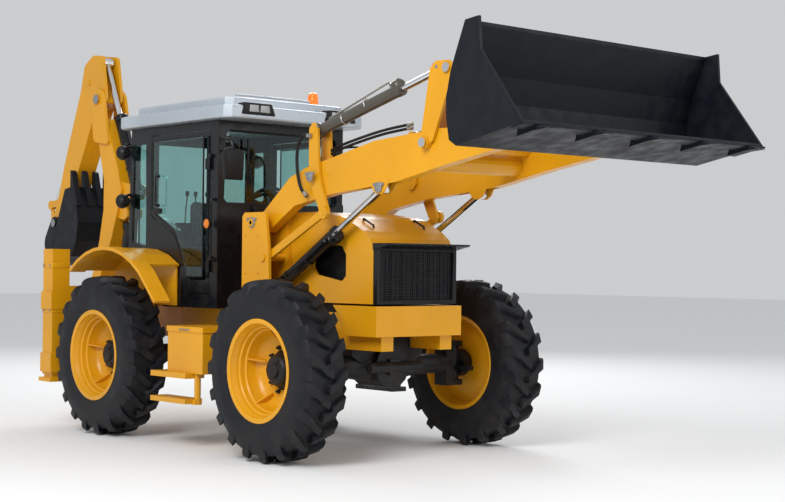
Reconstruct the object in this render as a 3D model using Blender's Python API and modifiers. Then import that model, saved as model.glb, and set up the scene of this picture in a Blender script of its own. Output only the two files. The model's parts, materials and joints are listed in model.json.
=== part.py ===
"""Backhoe loader with four equal wheels, modelled as an assembly of named pieces.

Metres, +X forward, +Y to the machine's left, +Z up. Every place is written from
the middle of the front axle on the ground; the empty "machine_origin" shifts the
whole machine so that its box is centred on the world's Z axis.
"""
import math

import bmesh
import bpy
from mathutils import Matrix, Vector

# --- Driving dimensions -----------------------------------------------------------
CENTRE_SHIFT = 0.9104           # front axle ahead of the middle of the machine's box
GAP = 0.0003                    # between pieces that touch
RUN = 0.006                     # between pieces that move past each other
FIT = 0.0005                    # between faces that slide on one another
BORE = 0.0009                   # a bore's radius over its pin's
SEAT_STEPS = 16                 # facets round a pin that something turns on

WHEELBASE = 2.39
TRACK_HALF = 1.014
TYRE_RADIUS = 0.68
TYRE_HALF_WIDTH = 0.185
RIM_RADIUS = 0.374
RIM_HALF_WIDTH = 0.178
HUB_RADIUS = 0.15
KINGPIN_Y = 0.79

RAIL_IN = 0.24
RAIL_OUT = 0.36
RAIL_BOTTOM = 0.82
RAIL_TOP = 1.10
RAIL_FRONT = 0.44
RAIL_REAR = -3.085
BUMPER_HALF = 0.436
BUMPER_FRONT = 0.469
BUMPER_BOTTOM = 0.93
BUMPER_TOP = 1.16

BONNET_HALF = 0.41
BONNET_BOTTOM = 1.175
BONNET_TOP = 1.885
BONNET_REAR = -0.63
BONNET_FRONT = 0.395
BONNET_WALL = 0.022
GRILLE_TOP = 1.605

ARM_Y = 0.50                    # middle plane of each loader arm
ARM_HALF = 0.045
SIDE_PLATE = 0.022              # rocker and lever plates beside the arm
LINK_Y = 0.596                  # levelling link, outside the rocker's outer plate
LINK_HALF = 0.013
PIN = 0.032                     # loader pins
SHAFT = 0.022                   # shafts inside the tilt levers

CAB_HALF = 0.66
CAB_FRONT = -1.30
CAB_REAR = -2.70
CAB_FLOOR = 1.17
CAB_WAIST = 1.42                # rear floor, raised over the axle
CAB_TOP = 2.66
CAB_WALL = 0.05
DOOR_FRONT = -1.42
DOOR_REAR = -2.32
DOOR_BOTTOM = 1.225
DOOR_TOP = 2.58
HINGE_AHEAD = 0.014             # door hinge line, ahead of and outside the door
HINGE_Y = CAB_HALF + 0.016

BUCKET_HALF = 1.215
BUCKET_PLATE = 0.022

HOE_Y = -0.35                   # the backhoe parks towards the right
SWING_X = -3.52
FRAME_FRONT = -3.12             # rear slide frame
FRAME_BACK = -3.22
LUG_NOSE = 0.075                # round end of each swing lug
SLEEVE_IN = 1.01
SLEEVE_OUT = 1.18
SLEEVE_FRONT = -3.12
SLEEVE_BACK = -3.29
SLEEVE_BOTTOM = 0.47
SLEEVE_TOP = 1.59
SLEEVE_WALL = 0.012
BOOM_HALF = 0.105
DIPPER_HALF = 0.095
HOE_BUCKET_HALF = 0.205

# Pins in the side view, (x, z)
ARM_PIVOT = (-0.844, 1.803)
LEVEL_STEP = (0.158, -0.280)    # from an upper levelling pin to its lower one
ROCKER_PIN = (-0.131, 2.145)
ROCKER_TOP = (-0.144, 2.509)
LIFT_BASE = (-0.80, 1.21)
LIFT_EYE = (0.614, 2.039)
LEVER_PIN = (1.141, 2.338)
LEVER_EYE = (1.251, 2.865)
LINK_TOP = (1.365, 2.850)
BUCKET_HINGE = (1.955, 2.335)
BUCKET_EAR = (1.975, 2.725)
BOOM_PIVOT = (-3.80, 1.04)
BOOM_RAM_BASE = (-3.36, 1.10)
BOOM_RAM_EYE = (-3.15, 1.93)
DIPPER_RAM_BASE = (-3.06, 2.14)
DIPPER_RAM_EYE = (-3.64, 3.38)
DIPPER_PIVOT = (-3.59, 3.02)
HOE_RAM_BASE = (-3.82, 3.20)
HOE_RAM_EYE = (-4.597, 2.044)
LEVER_ROOT = (-4.262, 2.09)     # tipping lever on the dipper
HOE_BUCKET_PIVOT = (-4.40, 1.86)
HOE_LINK_EYE = (-4.549, 1.647)

TURN_STEPS = 16                 # facets round a wheel


def level_pair(pin):
    """The lower end of the levelling parallelogram that starts at an upper pin."""
    return (pin[0] + LEVEL_STEP[0], pin[1] + LEVEL_STEP[1])


LEVEL_PIN = level_pair(ARM_PIVOT)
ROCKER_FOOT = level_pair(ROCKER_PIN)

# --- Scene ------------------------------------------------------------------------
for old in list(bpy.data.objects):
    bpy.data.objects.remove(old)

parts = bpy.data.collections.new("backhoe_loader")
cutters = bpy.data.collections.new("cutters")
for group in (parts, cutters):
    bpy.context.scene.collection.children.link(group)

COLOURS = {
    "yellow_paint": ((0.80, 0.42, 0.03), 0.38, 0.0),
    "black_paint": ((0.02, 0.02, 0.025), 0.45, 0.0),
    "silver_paint": ((0.62, 0.66, 0.70), 0.35, 0.2),
    "tyre_rubber": ((0.02, 0.022, 0.028), 0.80, 0.0),
    "bucket_paint": ((0.015, 0.017, 0.022), 0.50, 0.0),
    "cylinder_paint": ((0.10, 0.095, 0.08), 0.40, 0.4),
    "chrome": ((0.75, 0.75, 0.76), 0.12, 1.0),
    "cast_iron": ((0.06, 0.06, 0.06), 0.60, 0.6),
    "seat_vinyl": ((0.05, 0.06, 0.06), 0.60, 0.0),
}
materials = {}
for title, (colour, rough, metal) in COLOURS.items():
    material = bpy.data.materials.new(title)
    material.use_nodes = True
    shader = material.node_tree.nodes["Principled BSDF"]
    shader.inputs["Base Color"].default_value = (*colour, 1.0)
    shader.inputs["Roughness"].default_value = rough
    shader.inputs["Metallic"].default_value = metal
    materials[title] = material


# --- Helpers ----------------------------------------------------------------------
def empty(name, place, parent=None):
    """An empty on a joint's axis, placed in the machine's own coordinates."""
    node = bpy.data.objects.new(name, None)
    node.empty_display_size = 0.1
    parts.objects.link(node)
    node.location = Vector(place)
    if parent is not None:
        node.parent = parent
        node.location -= world_place(parent)
    node["place"] = tuple(place)
    return node


def world_place(node):
    """Where an empty stands, in the machine's own coordinates."""
    return Vector(node["place"])


origin = empty("machine_origin", (0, 0, 0))
origin.location.x = CENTRE_SHIFT


def add_mesh(name, mesh, where=None):
    """Link a mesh, given in machine coordinates, as a loose working object."""
    thing = bpy.data.objects.new(name, mesh)
    (where or cutters).objects.link(thing)
    thing.parent = origin
    return thing


def solid_from(name, build):
    """A working object whose mesh is filled by a bmesh function."""
    bm = bmesh.new()
    build(bm)
    mesh = bpy.data.meshes.new(name)
    bm.to_mesh(mesh)
    bm.free()
    return add_mesh(name, mesh)


def box(name, x, y, z):
    """A box between pairs of coordinates."""
    size = Vector((abs(x[1] - x[0]), abs(y[1] - y[0]), abs(z[1] - z[0])))
    middle = Vector((sum(x) / 2, sum(y) / 2, sum(z) / 2))
    matrix = Matrix.Translation(middle) @ Matrix.Diagonal((*size, 1))
    return solid_from(name, lambda bm: bmesh.ops.create_cube(bm, size=1, matrix=matrix))


def rod(name, start, end, radius, segments=10, radius_end=None):
    """A round bar, or a cone where the second radius differs."""
    start, end = Vector(start), Vector(end)
    turn = (end - start).to_track_quat("Z", "Y").to_matrix().to_4x4()
    matrix = Matrix.Translation((start + end) / 2) @ turn
    tip = radius if radius_end is None else radius_end
    return solid_from(name, lambda bm: bmesh.ops.create_cone(
        bm, cap_ends=True, segments=segments, radius1=radius, radius2=tip,
        depth=(end - start).length, matrix=matrix))


def pin(name, at, y0, y1, radius, segments=SEAT_STEPS):
    """A round bar across the machine, at a place in the side view."""
    return rod(name, (at[0], y0, at[1]), (at[0], y1, at[1]), radius, segments)


def round_corners(points, radius, steps=1):
    """Swap each corner of a closed outline for a short arc."""
    done = []
    count = len(points)
    for index, corner in enumerate(points):
        here = Vector(corner[:2])
        before = Vector(points[index - 1][:2]) - here
        after = Vector(points[(index + 1) % count][:2]) - here
        size = corner[2] if len(corner) > 2 else radius
        size = min(size, 0.45 * before.length, 0.45 * after.length)
        if size < 1e-4:
            done.append(tuple(here))
            continue
        a, b = here + before.normalized() * size, here + after.normalized() * size
        for step in range(steps + 1):
            t = step / steps
            done.append(tuple(a * (1 - t) ** 2 + here * 2 * t * (1 - t) + b * t ** 2))
    return done


def arc(centre, radius, start, end, steps):
    """Points along an arc, with angles in degrees."""
    return [(centre[0] + radius * math.cos(math.radians(start + (end - start) * i / steps)),
             centre[1] + radius * math.sin(math.radians(start + (end - start) * i / steps)))
            for i in range(steps + 1)]


def plate(name, outline, y0, y1, axis="Y"):
    """A flat outline with a thickness: a filled 2D curve, made into a mesh.

    Points are (x, z) for a plate across Y, (x, y) across Z and (y, z) across X.
    """
    curve = bpy.data.curves.new(name, "CURVE")
    curve.dimensions = "2D"
    curve.fill_mode = "BOTH"
    curve.extrude = abs(y1 - y0) / 2
    spline = curve.splines.new("POLY")
    spline.points.add(len(outline) - 1)
    for point, (u, v) in zip(spline.points, outline):
        point.co = (u, v, 0, 1)
    spline.use_cyclic_u = True
    flat = bpy.data.objects.new(name, curve)
    cutters.objects.link(flat)
    middle = (y0 + y1) / 2
    turns = {"Y": Matrix(((1, 0, 0, 0), (0, 0, -1, middle), (0, 1, 0, 0), (0, 0, 0, 1))),
             "Z": Matrix.Translation((0, 0, middle)),
             "X": Matrix(((0, 0, 1, middle), (1, 0, 0, 0), (0, 1, 0, 0), (0, 0, 0, 1)))}
    bpy.context.view_layer.update()
    seen = flat.evaluated_get(bpy.context.evaluated_depsgraph_get())
    mesh = bpy.data.meshes.new_from_object(seen)
    bpy.data.objects.remove(flat)
    bm = bmesh.new()
    bm.from_mesh(mesh)
    bmesh.ops.remove_doubles(bm, verts=bm.verts, dist=0.0001)
    bmesh.ops.transform(bm, matrix=turns[axis], verts=bm.verts)
    bmesh.ops.recalc_face_normals(bm, faces=bm.faces)
    bm.to_mesh(mesh)
    bm.free()
    mesh.materials.clear()
    return add_mesh(name, mesh)


def tube(name, points, radius, sides=2, closed=False):
    """A bent round bar: a bevelled poly curve, made into a mesh."""
    curve = bpy.data.curves.new(name, "CURVE")
    curve.dimensions = "3D"
    curve.bevel_depth = radius
    curve.bevel_resolution = sides
    curve.use_fill_caps = True
    spline = curve.splines.new("POLY")
    spline.points.add(len(points) - 1)
    for point, place in zip(spline.points, points):
        point.co = (*place, 1)
    spline.use_cyclic_u = closed
    bent = bpy.data.objects.new(name, curve)
    cutters.objects.link(bent)
    bpy.context.view_layer.update()
    seen = bent.evaluated_get(bpy.context.evaluated_depsgraph_get())
    mesh = bpy.data.meshes.new_from_object(seen)
    bpy.data.objects.remove(bent)
    bm = bmesh.new()
    bm.from_mesh(mesh)
    bmesh.ops.remove_doubles(bm, verts=bm.verts, dist=0.0001)
    bmesh.ops.recalc_face_normals(bm, faces=bm.faces)
    bm.to_mesh(mesh)
    bm.free()
    mesh.materials.clear()
    return add_mesh(name, mesh)


def turned(name, profile, centre, steps=TURN_STEPS):
    """A ring turned about an axis across the machine.

    The profile is (radius, offset along the axis), run down its outer side. One that
    starts on the axis also ends on it, and makes a solid.
    """
    bm = bmesh.new()
    verts = [bm.verts.new((r, 0, h)) for r, h in profile]
    for first, second in zip(verts, verts[1:]):
        bm.edges.new((first, second))
    if profile[0][0] > 0:
        bm.edges.new((verts[-1], verts[0]))
    mesh = bpy.data.meshes.new(name)
    bm.to_mesh(mesh)
    bm.free()
    ring = add_mesh(name, mesh)
    screw = ring.modifiers.new("turn", "SCREW")
    screw.axis = "Z"
    screw.steps = steps
    screw.render_steps = steps
    screw.use_merge_vertices = True
    screw.merge_threshold = 0.0001
    ring.rotation_euler = (-math.pi / 2, 0, 0)
    ring.location = Vector(centre)
    return ring


def modify(base, other, operation):
    """Join or cut with a working object."""
    cut = base.modifiers.new(other.name, "BOOLEAN")
    cut.operation = operation
    cut.object = other
    cut.solver = "EXACT"


def join(base, *others):
    for other in others:
        modify(base, other, "UNION")
    return base


def cut(base, *others):
    for other in others:
        modify(base, other, "DIFFERENCE")
    return base


def finish(thing, name, material, pivot=None):
    """Name a working object, give it its paint and hang it on its joint's empty."""
    thing.name = name
    thing.data.name = name
    thing.data.materials.append(materials[material])
    cutters.objects.unlink(thing)
    parts.objects.link(thing)
    if any(step.type == "BOOLEAN" for step in thing.modifiers):
        tidy = thing.modifiers.new("flat_faces", "DECIMATE")
        tidy.decimate_type = "DISSOLVE"
        tidy.angle_limit = math.radians(0.02)
    if pivot is not None:
        place = world_place(pivot)
        if thing.rotation_euler.x:
            thing.location -= place
        else:
            thing.data.transform(Matrix.Translation(-place))
        thing.parent = pivot
    return thing


def both_sides():
    """Right then left, as a name and the sign of y."""
    return (("right", -1), ("left", 1))


def at_side(side, near, far):
    """A pair of y values on one side of the machine, in rising order."""
    return tuple(sorted((side * near, side * far)))


# --- Chassis ----------------------------------------------------------------------
def make_chassis():
    """Two rails, cross members, the nose beam and the loader towers: one weldment."""
    frame = box("rail_right", (RAIL_REAR, RAIL_FRONT), (-RAIL_OUT, -RAIL_IN),
                (RAIL_BOTTOM, RAIL_TOP))
    other = box("rail_left", (RAIL_REAR, RAIL_FRONT), (RAIL_IN, RAIL_OUT),
                (RAIL_BOTTOM, RAIL_TOP))
    join(frame, other)
    overlap = 0.02
    for x in (-0.80, -1.30, -1.95, -3.00):
        join(frame, box("cross_member", (x - 0.06, x + 0.06),
                        (-RAIL_IN - overlap, RAIL_IN + overlap),
                        (RAIL_BOTTOM + 0.04, RAIL_TOP - 0.04)))
    nose = [(BUMPER_FRONT, BUMPER_BOTTOM), (BUMPER_FRONT, BUMPER_TOP), (-0.05, BUMPER_TOP),
            (0.065, 1.048), (0.10, BUMPER_BOTTOM)]
    join(frame, plate("nose_beam", nose, -BUMPER_HALF, BUMPER_HALF))
    join(frame, box("cowl", (BONNET_REAR - 0.03, BONNET_REAR - FIT), (-0.425, 0.425),
                    (1.11, BONNET_TOP - 0.035)))
    for name, side in both_sides():
        join(frame, tower(side))
    return finish(frame, "chassis_frame", "yellow_paint", None)


def tower(side):
    """A pair of upright plates with a back plate, carrying one loader arm."""
    inner = (ARM_Y - ARM_HALF - 0.040, ARM_Y - ARM_HALF - 0.015)
    outer = (LINK_Y + LINK_HALF + RUN, LINK_Y + LINK_HALF + RUN + 0.025)
    shape = round_corners([(-0.975, 0.90), (-0.60, 0.90), (-0.60, 1.20), (-0.62, 1.62),
                           (-0.665, 1.885), (-0.975, 1.885)], 0.03)
    body = plate("tower_outer", shape, *at_side(side, *outer))
    join(body, plate("tower_inner", shape, *at_side(side, *inner)))
    back = box("tower_back", (-0.970, -0.945), at_side(side, inner[0] + 0.004, outer[1] - 0.004),
               (0.905, 1.72))
    foot = box("tower_foot", (-0.970, -0.61), at_side(side, RAIL_IN + 0.02, outer[1] - 0.003),
               (0.905, 0.985))
    join(body, back, foot)
    for place in (ARM_PIVOT, LEVEL_PIN, LIFT_BASE):
        join(body, pin("tower_pin", place, side * (inner[0] - 0.008), side * (outer[1] + 0.014),
                       PIN))
    return body


def make_engine():
    block = box("block", (-0.58, 0.28), (-0.30, 0.30), (BUMPER_TOP + RUN, 1.62))
    feet = box("feet", (-0.55, -0.08), (-RAIL_IN + 0.005, RAIL_IN - 0.005), (0.905, 1.18))
    join(block, feet)
    join(block, box("mounts", (-0.40, -0.10), (-RAIL_OUT + 0.01, RAIL_OUT - 0.01),
                    (RAIL_TOP + GAP, RAIL_TOP + 0.08)))
    gearbox = box("gearbox", (-1.80, -0.45), (-0.19, 0.19), (0.62, 0.855 - 0.002))
    join(block, gearbox, box("bell", (-0.62, -0.42), (-0.19, 0.19), (0.62, 0.95)))
    shaft = rod("shaft", (-0.5, 0, 0.70), (-0.1662, 0, 0.69), 0.035, 10)
    tail = rod("shaft", (-1.75, 0, 0.70), (-WHEELBASE + 0.1612, 0, 0.69), 0.035, 10)
    join(block, shaft, tail)
    return finish(block, "engine_and_gearbox", "cast_iron", None)


def make_axle(name, x, steered):
    """A drive axle: a turned beam with its housing, saddle and, in front, end yokes."""
    z = TYRE_RADIUS
    end = KINGPIN_Y - 0.075
    if steered:
        half = [(0, end), (0.080, end), (0.080, 0.38), (0.125, 0.12)]
    else:
        face = hub_face() - GAP
        half = [(0, face), (0.09, face), (0.09, 0.885), (0.12, 0.875), (0.12, 0.60),
                (0.080, 0.58), (0.080, 0.38), (0.125, 0.12)]
    body = turned("beam", half + [(r, -h) for r, h in reversed(half)], (x, 0, z), 12)
    join(body, rod("housing", (x - 0.165, 0, z), (x + 0.16, 0, z), 0.17, 14))
    low, top = RAIL_BOTTOM - GAP, 0.90
    saddle = [(-RAIL_OUT, 0.77), (-0.25, 0.70), (0.25, 0.70), (RAIL_OUT, 0.77),
              (RAIL_OUT, low), (0.235, low), (0.235, top), (-0.235, top), (-0.235, low),
              (-RAIL_OUT, low)]
    join(body, plate("saddle", saddle, x - 0.10, x + 0.10, "X"))
    if steered:
        join(body, rod("ram", (x + 0.185, -0.26, z), (x + 0.185, 0.26, z), 0.042, 10))
        join(body, box("ram_bracket", (x + 0.08, x + 0.195), (-0.055, 0.055),
                       (z - 0.06, z + 0.06)))
        for side in (-1, 1):
            jaw = [(end - 0.06, 0.50), (KINGPIN_Y + 0.045, 0.50), (KINGPIN_Y + 0.045, 0.545),
                   (KINGPIN_Y - 0.062, 0.545), (KINGPIN_Y - 0.062, 0.815),
                   (KINGPIN_Y + 0.045, 0.815), (KINGPIN_Y + 0.045, 0.86), (end - 0.06, 0.86)]
            jaw = [(side * y, h) for y, h in jaw]
            join(body, plate("yoke", jaw, x - 0.07, x + 0.07, "X"))
    return finish(body, name, "cast_iron", None)


def hub_face():
    """How far out the wheel's inner hub face stands."""
    return TRACK_HALF - 0.10


def make_knuckle(name, side, pivot):
    """A steering knuckle between the axle's jaws, with its spindle and arm."""
    kingpin = (0, side * KINGPIN_Y)
    body = rod("post", (0, kingpin[1], 0.545 + FIT), (0, kingpin[1], 0.815 - FIT), 0.052, 14)
    drum = rod("drum", (0, side * (KINGPIN_Y + 0.02), TYRE_RADIUS),
               (0, side * 0.885, TYRE_RADIUS), 0.115, 16)
    spindle = rod("spindle", (0, side * 0.88, TYRE_RADIUS),
                  (0, side * (hub_face() - GAP), TYRE_RADIUS), 0.09, 14)
    lever = box("lever", (0.03, 0.215), at_side(side, KINGPIN_Y - 0.025, KINGPIN_Y + 0.03),
                (TYRE_RADIUS - 0.055, TYRE_RADIUS - 0.02))
    join(body, drum, spindle, lever)
    return finish(body, name, "cast_iron", pivot)


def make_wheel(place, side, pivot):
    """A rim with its disc and hub drum, and the tyre on it."""
    name, x = place
    centre = (x, side * TRACK_HALF, TYRE_RADIUS)
    half, radius, wide = TYRE_HALF_WIDTH, TYRE_RADIUS, RIM_HALF_WIDTH
    bead = RIM_RADIUS - 0.022
    tyre = [(radius, 0.10), (radius, -0.10), (radius - 0.035, -0.165), (radius - 0.15, -half),
            (RIM_RADIUS + 0.004, -wide + 0.027), (bead + GAP, -wide + 0.035),
            (bead + GAP, wide - 0.035), (RIM_RADIUS + 0.004, wide - 0.027),
            (radius - 0.15, half), (radius - 0.035, 0.165)]
    ring = turned("tyre", tyre, centre)
    finish(ring, f"{name}_tyre", "tyre_rubber", pivot)
    wall = 0.012
    hub_in = hub_face() - TRACK_HALF
    hub_out = 0.05
    disc = -0.083
    rim = [(RIM_RADIUS, wide), (RIM_RADIUS, wide - 0.018), (bead, wide - 0.030 - GAP),
           (bead, -wide + 0.030 + GAP), (RIM_RADIUS, -wide + 0.018), (RIM_RADIUS, -wide),
           (bead - wall, -wide + 0.012), (bead - wall, disc - 0.010), (HUB_RADIUS, hub_in),
           (0.03, hub_in), (0.03, hub_out), (HUB_RADIUS - 0.02, hub_out),
           (HUB_RADIUS, disc + 0.012), (bead - wall, disc + 0.012), (bead - wall, wide - 0.012)]
    if side < 0:
        rim = [(r, -h) for r, h in reversed(rim)]
    wheel = turned("rim", rim, centre)
    return finish(wheel, f"{name}_rim", "yellow_paint", pivot)


# --- Body panels ------------------------------------------------------------------
def make_bonnet(pivot):
    """The bonnet shell: open below and in front, with an intake in each side."""
    shape = round_corners([(BONNET_REAR, BONNET_BOTTOM, 0), (BONNET_FRONT, BONNET_BOTTOM, 0),
                           (BONNET_FRONT, 1.64, 0.05), (0.18, 1.80, 0.12),
                           (-0.15, BONNET_TOP, 0.15), (BONNET_REAR, BONNET_TOP, 0)], 0.05)
    outer = plate("bonnet", shape, -BONNET_HALF, BONNET_HALF)
    wall = BONNET_WALL
    inner = round_corners([(BONNET_REAR - 0.1, 1.0, 0), (BONNET_FRONT - wall, 1.0, 0),
                           (BONNET_FRONT - wall, 1.62, 0.05), (0.17, 1.775, 0.12),
                           (-0.155, BONNET_TOP - wall, 0.15),
                           (BONNET_REAR - 0.1, BONNET_TOP - wall, 0)], 0.05)
    cut(outer, plate("bonnet_inside", inner, -BONNET_HALF + wall, BONNET_HALF - wall))
    cut(outer, box("grille_opening", (0.2, 0.5), (-BONNET_HALF + 0.05, BONNET_HALF - 0.05),
                   (BONNET_BOTTOM + 0.05, 1.58)))
    intake = round_corners([(-0.335, 1.40), (-0.335, 1.56), (-0.06, 1.635), (0.075, 1.60),
                            (0.075, 1.335)], 0.05)
    cut(outer, plate("intake", intake, -0.6, 0.6))
    return finish(outer, "bonnet", "yellow_paint", pivot)


def make_grille(pivot):
    """A deep black frame with a mesh panel and a visor lip over it."""
    front = BONNET_FRONT + GAP
    half = BONNET_HALF - 0.004
    low = BONNET_BOTTOM
    frame = box("frame", (front, front + 0.045), (-half, half), (low, GRILLE_TOP))
    cut(frame, box("frame_opening", (front + 0.012, front + 0.1), (-half + 0.045, half - 0.045),
                   (low + 0.03, GRILLE_TOP - 0.03)))
    visor = [(front + 0.004, GRILLE_TOP - 0.02), (front + 0.185, GRILLE_TOP + 0.016),
             (front + 0.185, GRILLE_TOP + 0.030), (front + 0.004, GRILLE_TOP + 0.030)]
    join(frame, plate("visor", visor, -half - 0.012, half + 0.012))
    return finish(frame, "grille", "black_paint", pivot)


def make_fenders():
    """Both rear mudguards on one carrier that crosses under the raised cab floor."""
    middle = (-2.35, 0.66)
    outer, sheet = 0.95, 0.028
    outside = arc(middle, outer, 128, 52, 8) + [(-1.515, 1.160)]
    inside = [(-1.532, 1.142)] + arc(middle, outer - sheet, 52, 128, 8)
    shelf = arc(middle, outer - 0.006, 127, 58, 6) + arc(middle, outer - sheet + 0.004, 58, 127, 6)
    carrier = box("carrier", (-2.56, -2.24), (-CAB_HALF - 0.04, CAB_HALF + 0.04),
                  (RAIL_TOP + GAP, RAIL_TOP + 0.035))
    web = arc(middle, outer - 0.012, 124, 60, 6) + [(-1.88, 1.113), (-2.88, 1.113)]
    for side in (-1, 1):
        join(carrier, plate("arch_web", web, *at_side(side, CAB_HALF + 0.008, CAB_HALF + 0.022)))
        join(carrier, plate("shelf", shelf, *at_side(side, CAB_HALF + 0.010, 1.0)))
        join(carrier, plate("mudguard", outside + inside, *at_side(side, 0.97, 1.12)))
    return finish(carrier, "rear_fenders", "yellow_paint", None)


def make_cab():
    """The cab's weldment: floors, pillars, headers, front wall, consoles and pedestal."""
    half, wall = CAB_HALF, CAB_WALL
    floor = RAIL_TOP + GAP
    low = [(CAB_FRONT, floor), (CAB_FRONT, CAB_TOP), (CAB_REAR + 0.04, CAB_TOP),
           (CAB_REAR, 1.60), (CAB_REAR, CAB_WAIST - 0.05), (-2.12, CAB_WAIST - 0.05),
           (-2.12, floor)]
    body = plate("cab", low, -half, half)
    room = [(CAB_FRONT - wall, CAB_FLOOR), (CAB_FRONT - wall, 3.0), (CAB_REAR + 0.09, 3.0),
            (CAB_REAR + wall, 1.60), (CAB_REAR + wall, CAB_WAIST), (-2.17, CAB_WAIST),
            (-2.17, CAB_FLOOR)]
    cut(body, plate("cab_room", room, -half + wall, half - wall))
    door = door_outline(RUN)
    cut(body, plate("door_holes", door, -1.2, 1.2))
    quarter = [(-2.40, 1.62), (-2.64, 1.66), (-2.615, 2.52), (-2.42, 2.52)]
    cut(body, plate("quarter_holes", quarter, -1.2, 1.2))
    screen = round_corners([(-half + 0.06, 1.97), (half - 0.06, 1.97), (half - 0.08, 2.585),
                            (-half + 0.08, 2.585)], 0.04)
    cut(body, plate("screen_hole", screen, CAB_FRONT - 0.2, CAB_FRONT + 0.2, "X"))
    rear = round_corners([(-half + 0.06, 1.62), (half - 0.06, 1.62), (half - 0.08, 2.55),
                          (-half + 0.08, 2.55)], 0.04)
    cut(body, plate("rear_hole", rear, CAB_REAR - 0.2, CAB_REAR + 0.2, "X"))
    for side in (-1, 1):
        for z in (1.45, 2.30):
            join(body, box("hinge_lug", (DOOR_FRONT + 0.010, DOOR_FRONT + 0.045),
                           at_side(side, half - 0.004, HINGE_Y + 0.009),
                           (z + 0.05 + FIT, z + 0.080)))
    join(body, *consoles())
    return finish(body, "cab_frame", "black_paint", None)


def consoles():
    """Dash with steering column and wheel, rear control stand and seat pedestal."""
    dash = [(CAB_FRONT - 0.04, 1.16), (-1.56, 1.16), (-1.60, 1.50), (-1.52, 1.86),
            (-1.42, 1.93), (CAB_FRONT - 0.04, 1.93)]
    stand = [(-2.50, 1.41), (CAB_REAR + 0.04, 1.41), (CAB_REAR + 0.04, 1.80), (-2.53, 1.84)]
    column = rod("column", (-1.42, 0, 1.84), (-1.56, 0, 1.985), 0.03, 10)
    wheel = steering_wheel((-1.56, 0, 1.985), Vector((-0.74, 0, 0.67)))
    pedestal = rod("pedestal", (SEAT_X, 0, 1.16), (SEAT_X, 0, 1.44), 0.09, 16)
    return (plate("dash", dash, -0.20, 0.20), plate("stand", stand, -0.26, 0.26), column,
            *wheel, pedestal)


SEAT_X = -2.10
SEAT_BASE = 1.44


def steering_wheel(centre, axis):
    """A ring with a bar across it, square to the column."""
    centre = Vector(centre)
    axis = axis.normalized()
    across = Vector((0, 1, 0))
    up = axis.cross(across)
    radius = 0.19
    turns = [2 * math.pi * step / 24 for step in range(24)]
    hoop = [tuple(centre + (across * math.cos(a) + up * math.sin(a)) * radius) for a in turns]
    ring = tube("ring", hoop, 0.016, 1, True)
    spoke = rod("spoke", centre - across * radius, centre + across * radius, 0.012, 8)
    hub = rod("hub", centre - axis * 0.03, centre + axis * 0.012, 0.045, 12)
    return ring, spoke, hub


def door_outline(grow):
    """The door as seen from the side, grown by a clearance."""
    g = grow
    return [(DOOR_FRONT + g, DOOR_BOTTOM - g), (DOOR_FRONT + g, DOOR_TOP + g),
            (DOOR_REAR - g, DOOR_TOP + g), (DOOR_REAR - 0.01 - g, 1.90 - g),
            (-2.245 - g, 1.855 - g), (-1.94 - g, 1.713 - g), (-1.795 - g, 1.482 - g),
            (-1.745 - g, 1.33), (-1.735 - g, DOOR_BOTTOM - g)]


def make_door(name, side, pivot):
    """A glazed door: a frame all round its window."""
    body = plate("door", door_outline(0), *at_side(side, CAB_HALF - 0.045, CAB_HALF))
    window = [(DOOR_FRONT - 0.05, DOOR_BOTTOM + 0.11), (DOOR_FRONT - 0.05, DOOR_TOP - 0.05),
              (DOOR_REAR + 0.05, DOOR_TOP - 0.05), (DOOR_REAR + 0.045, 1.935),
              (-2.215, 1.90), (-1.905, 1.755), (-1.75, 1.497), (-1.70, DOOR_BOTTOM + 0.11)]
    cut(body, plate("door_window", window, -1.2, 1.2))
    hinge = (DOOR_FRONT + HINGE_AHEAD, side * HINGE_Y)
    for z in (1.45, 2.30):
        join(body, rod("door_hinge", (*hinge, z - 0.05), (*hinge, z + 0.05), 0.012, 10))
        leaf = at_side(side, CAB_HALF + 0.004, HINGE_Y + 0.004)
        foot = at_side(side, CAB_HALF - 0.01, CAB_HALF + 0.012)
        join(body, box("hinge_leaf", (DOOR_FRONT - 0.04, hinge[0]), leaf,
                       (z - 0.045, z + 0.045)),
             box("hinge_foot", (DOOR_FRONT - 0.036, DOOR_FRONT - 0.01), foot,
                 (z - 0.040, z + 0.040)))
    return finish(body, name, "black_paint", pivot)


def rounded_box(name, x, y, z, corner, edge, steps=2):
    """A slab with round corners in plan and a bevelled rim."""
    outline = [(x[0], y[0]), (x[1], y[0]), (x[1], y[1]), (x[0], y[1])]
    body = plate(name, round_corners(outline, corner, 3), z[0], z[1], "Z")
    soften = body.modifiers.new("rim", "BEVEL")
    soften.width = edge
    soften.segments = steps
    soften.limit_method = "ANGLE"
    soften.angle_limit = math.radians(50)
    return body


def make_roof():
    """The roof: a deep lid with an overhang and a crowned top."""
    low = CAB_TOP + GAP
    body = rounded_box("roof", (-2.80, -1.06), (-0.75, 0.75), (low, low + 0.11), 0.16, 0.035)
    crown = rounded_box("crown", (-2.68, -1.20), (-0.64, 0.64), (low + 0.06, low + 0.19), 0.16,
                        0.055)
    join(body, crown)
    return finish(body, "cab_roof", "silver_paint", None)


def make_seat(pivot):
    """Seat cushion and back as one plain soft solid."""
    x = SEAT_X
    shape = round_corners([(x + 0.24, SEAT_BASE + GAP), (x + 0.25, SEAT_BASE + 0.13),
                           (x - 0.14, SEAT_BASE + 0.12), (x - 0.22, SEAT_BASE + 0.62),
                           (x - 0.33, SEAT_BASE + 0.60), (x - 0.24, SEAT_BASE + GAP)], 0.03)
    return finish(plate("seat", shape, -0.24, 0.24), "seat", "seat_vinyl", pivot)


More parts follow.
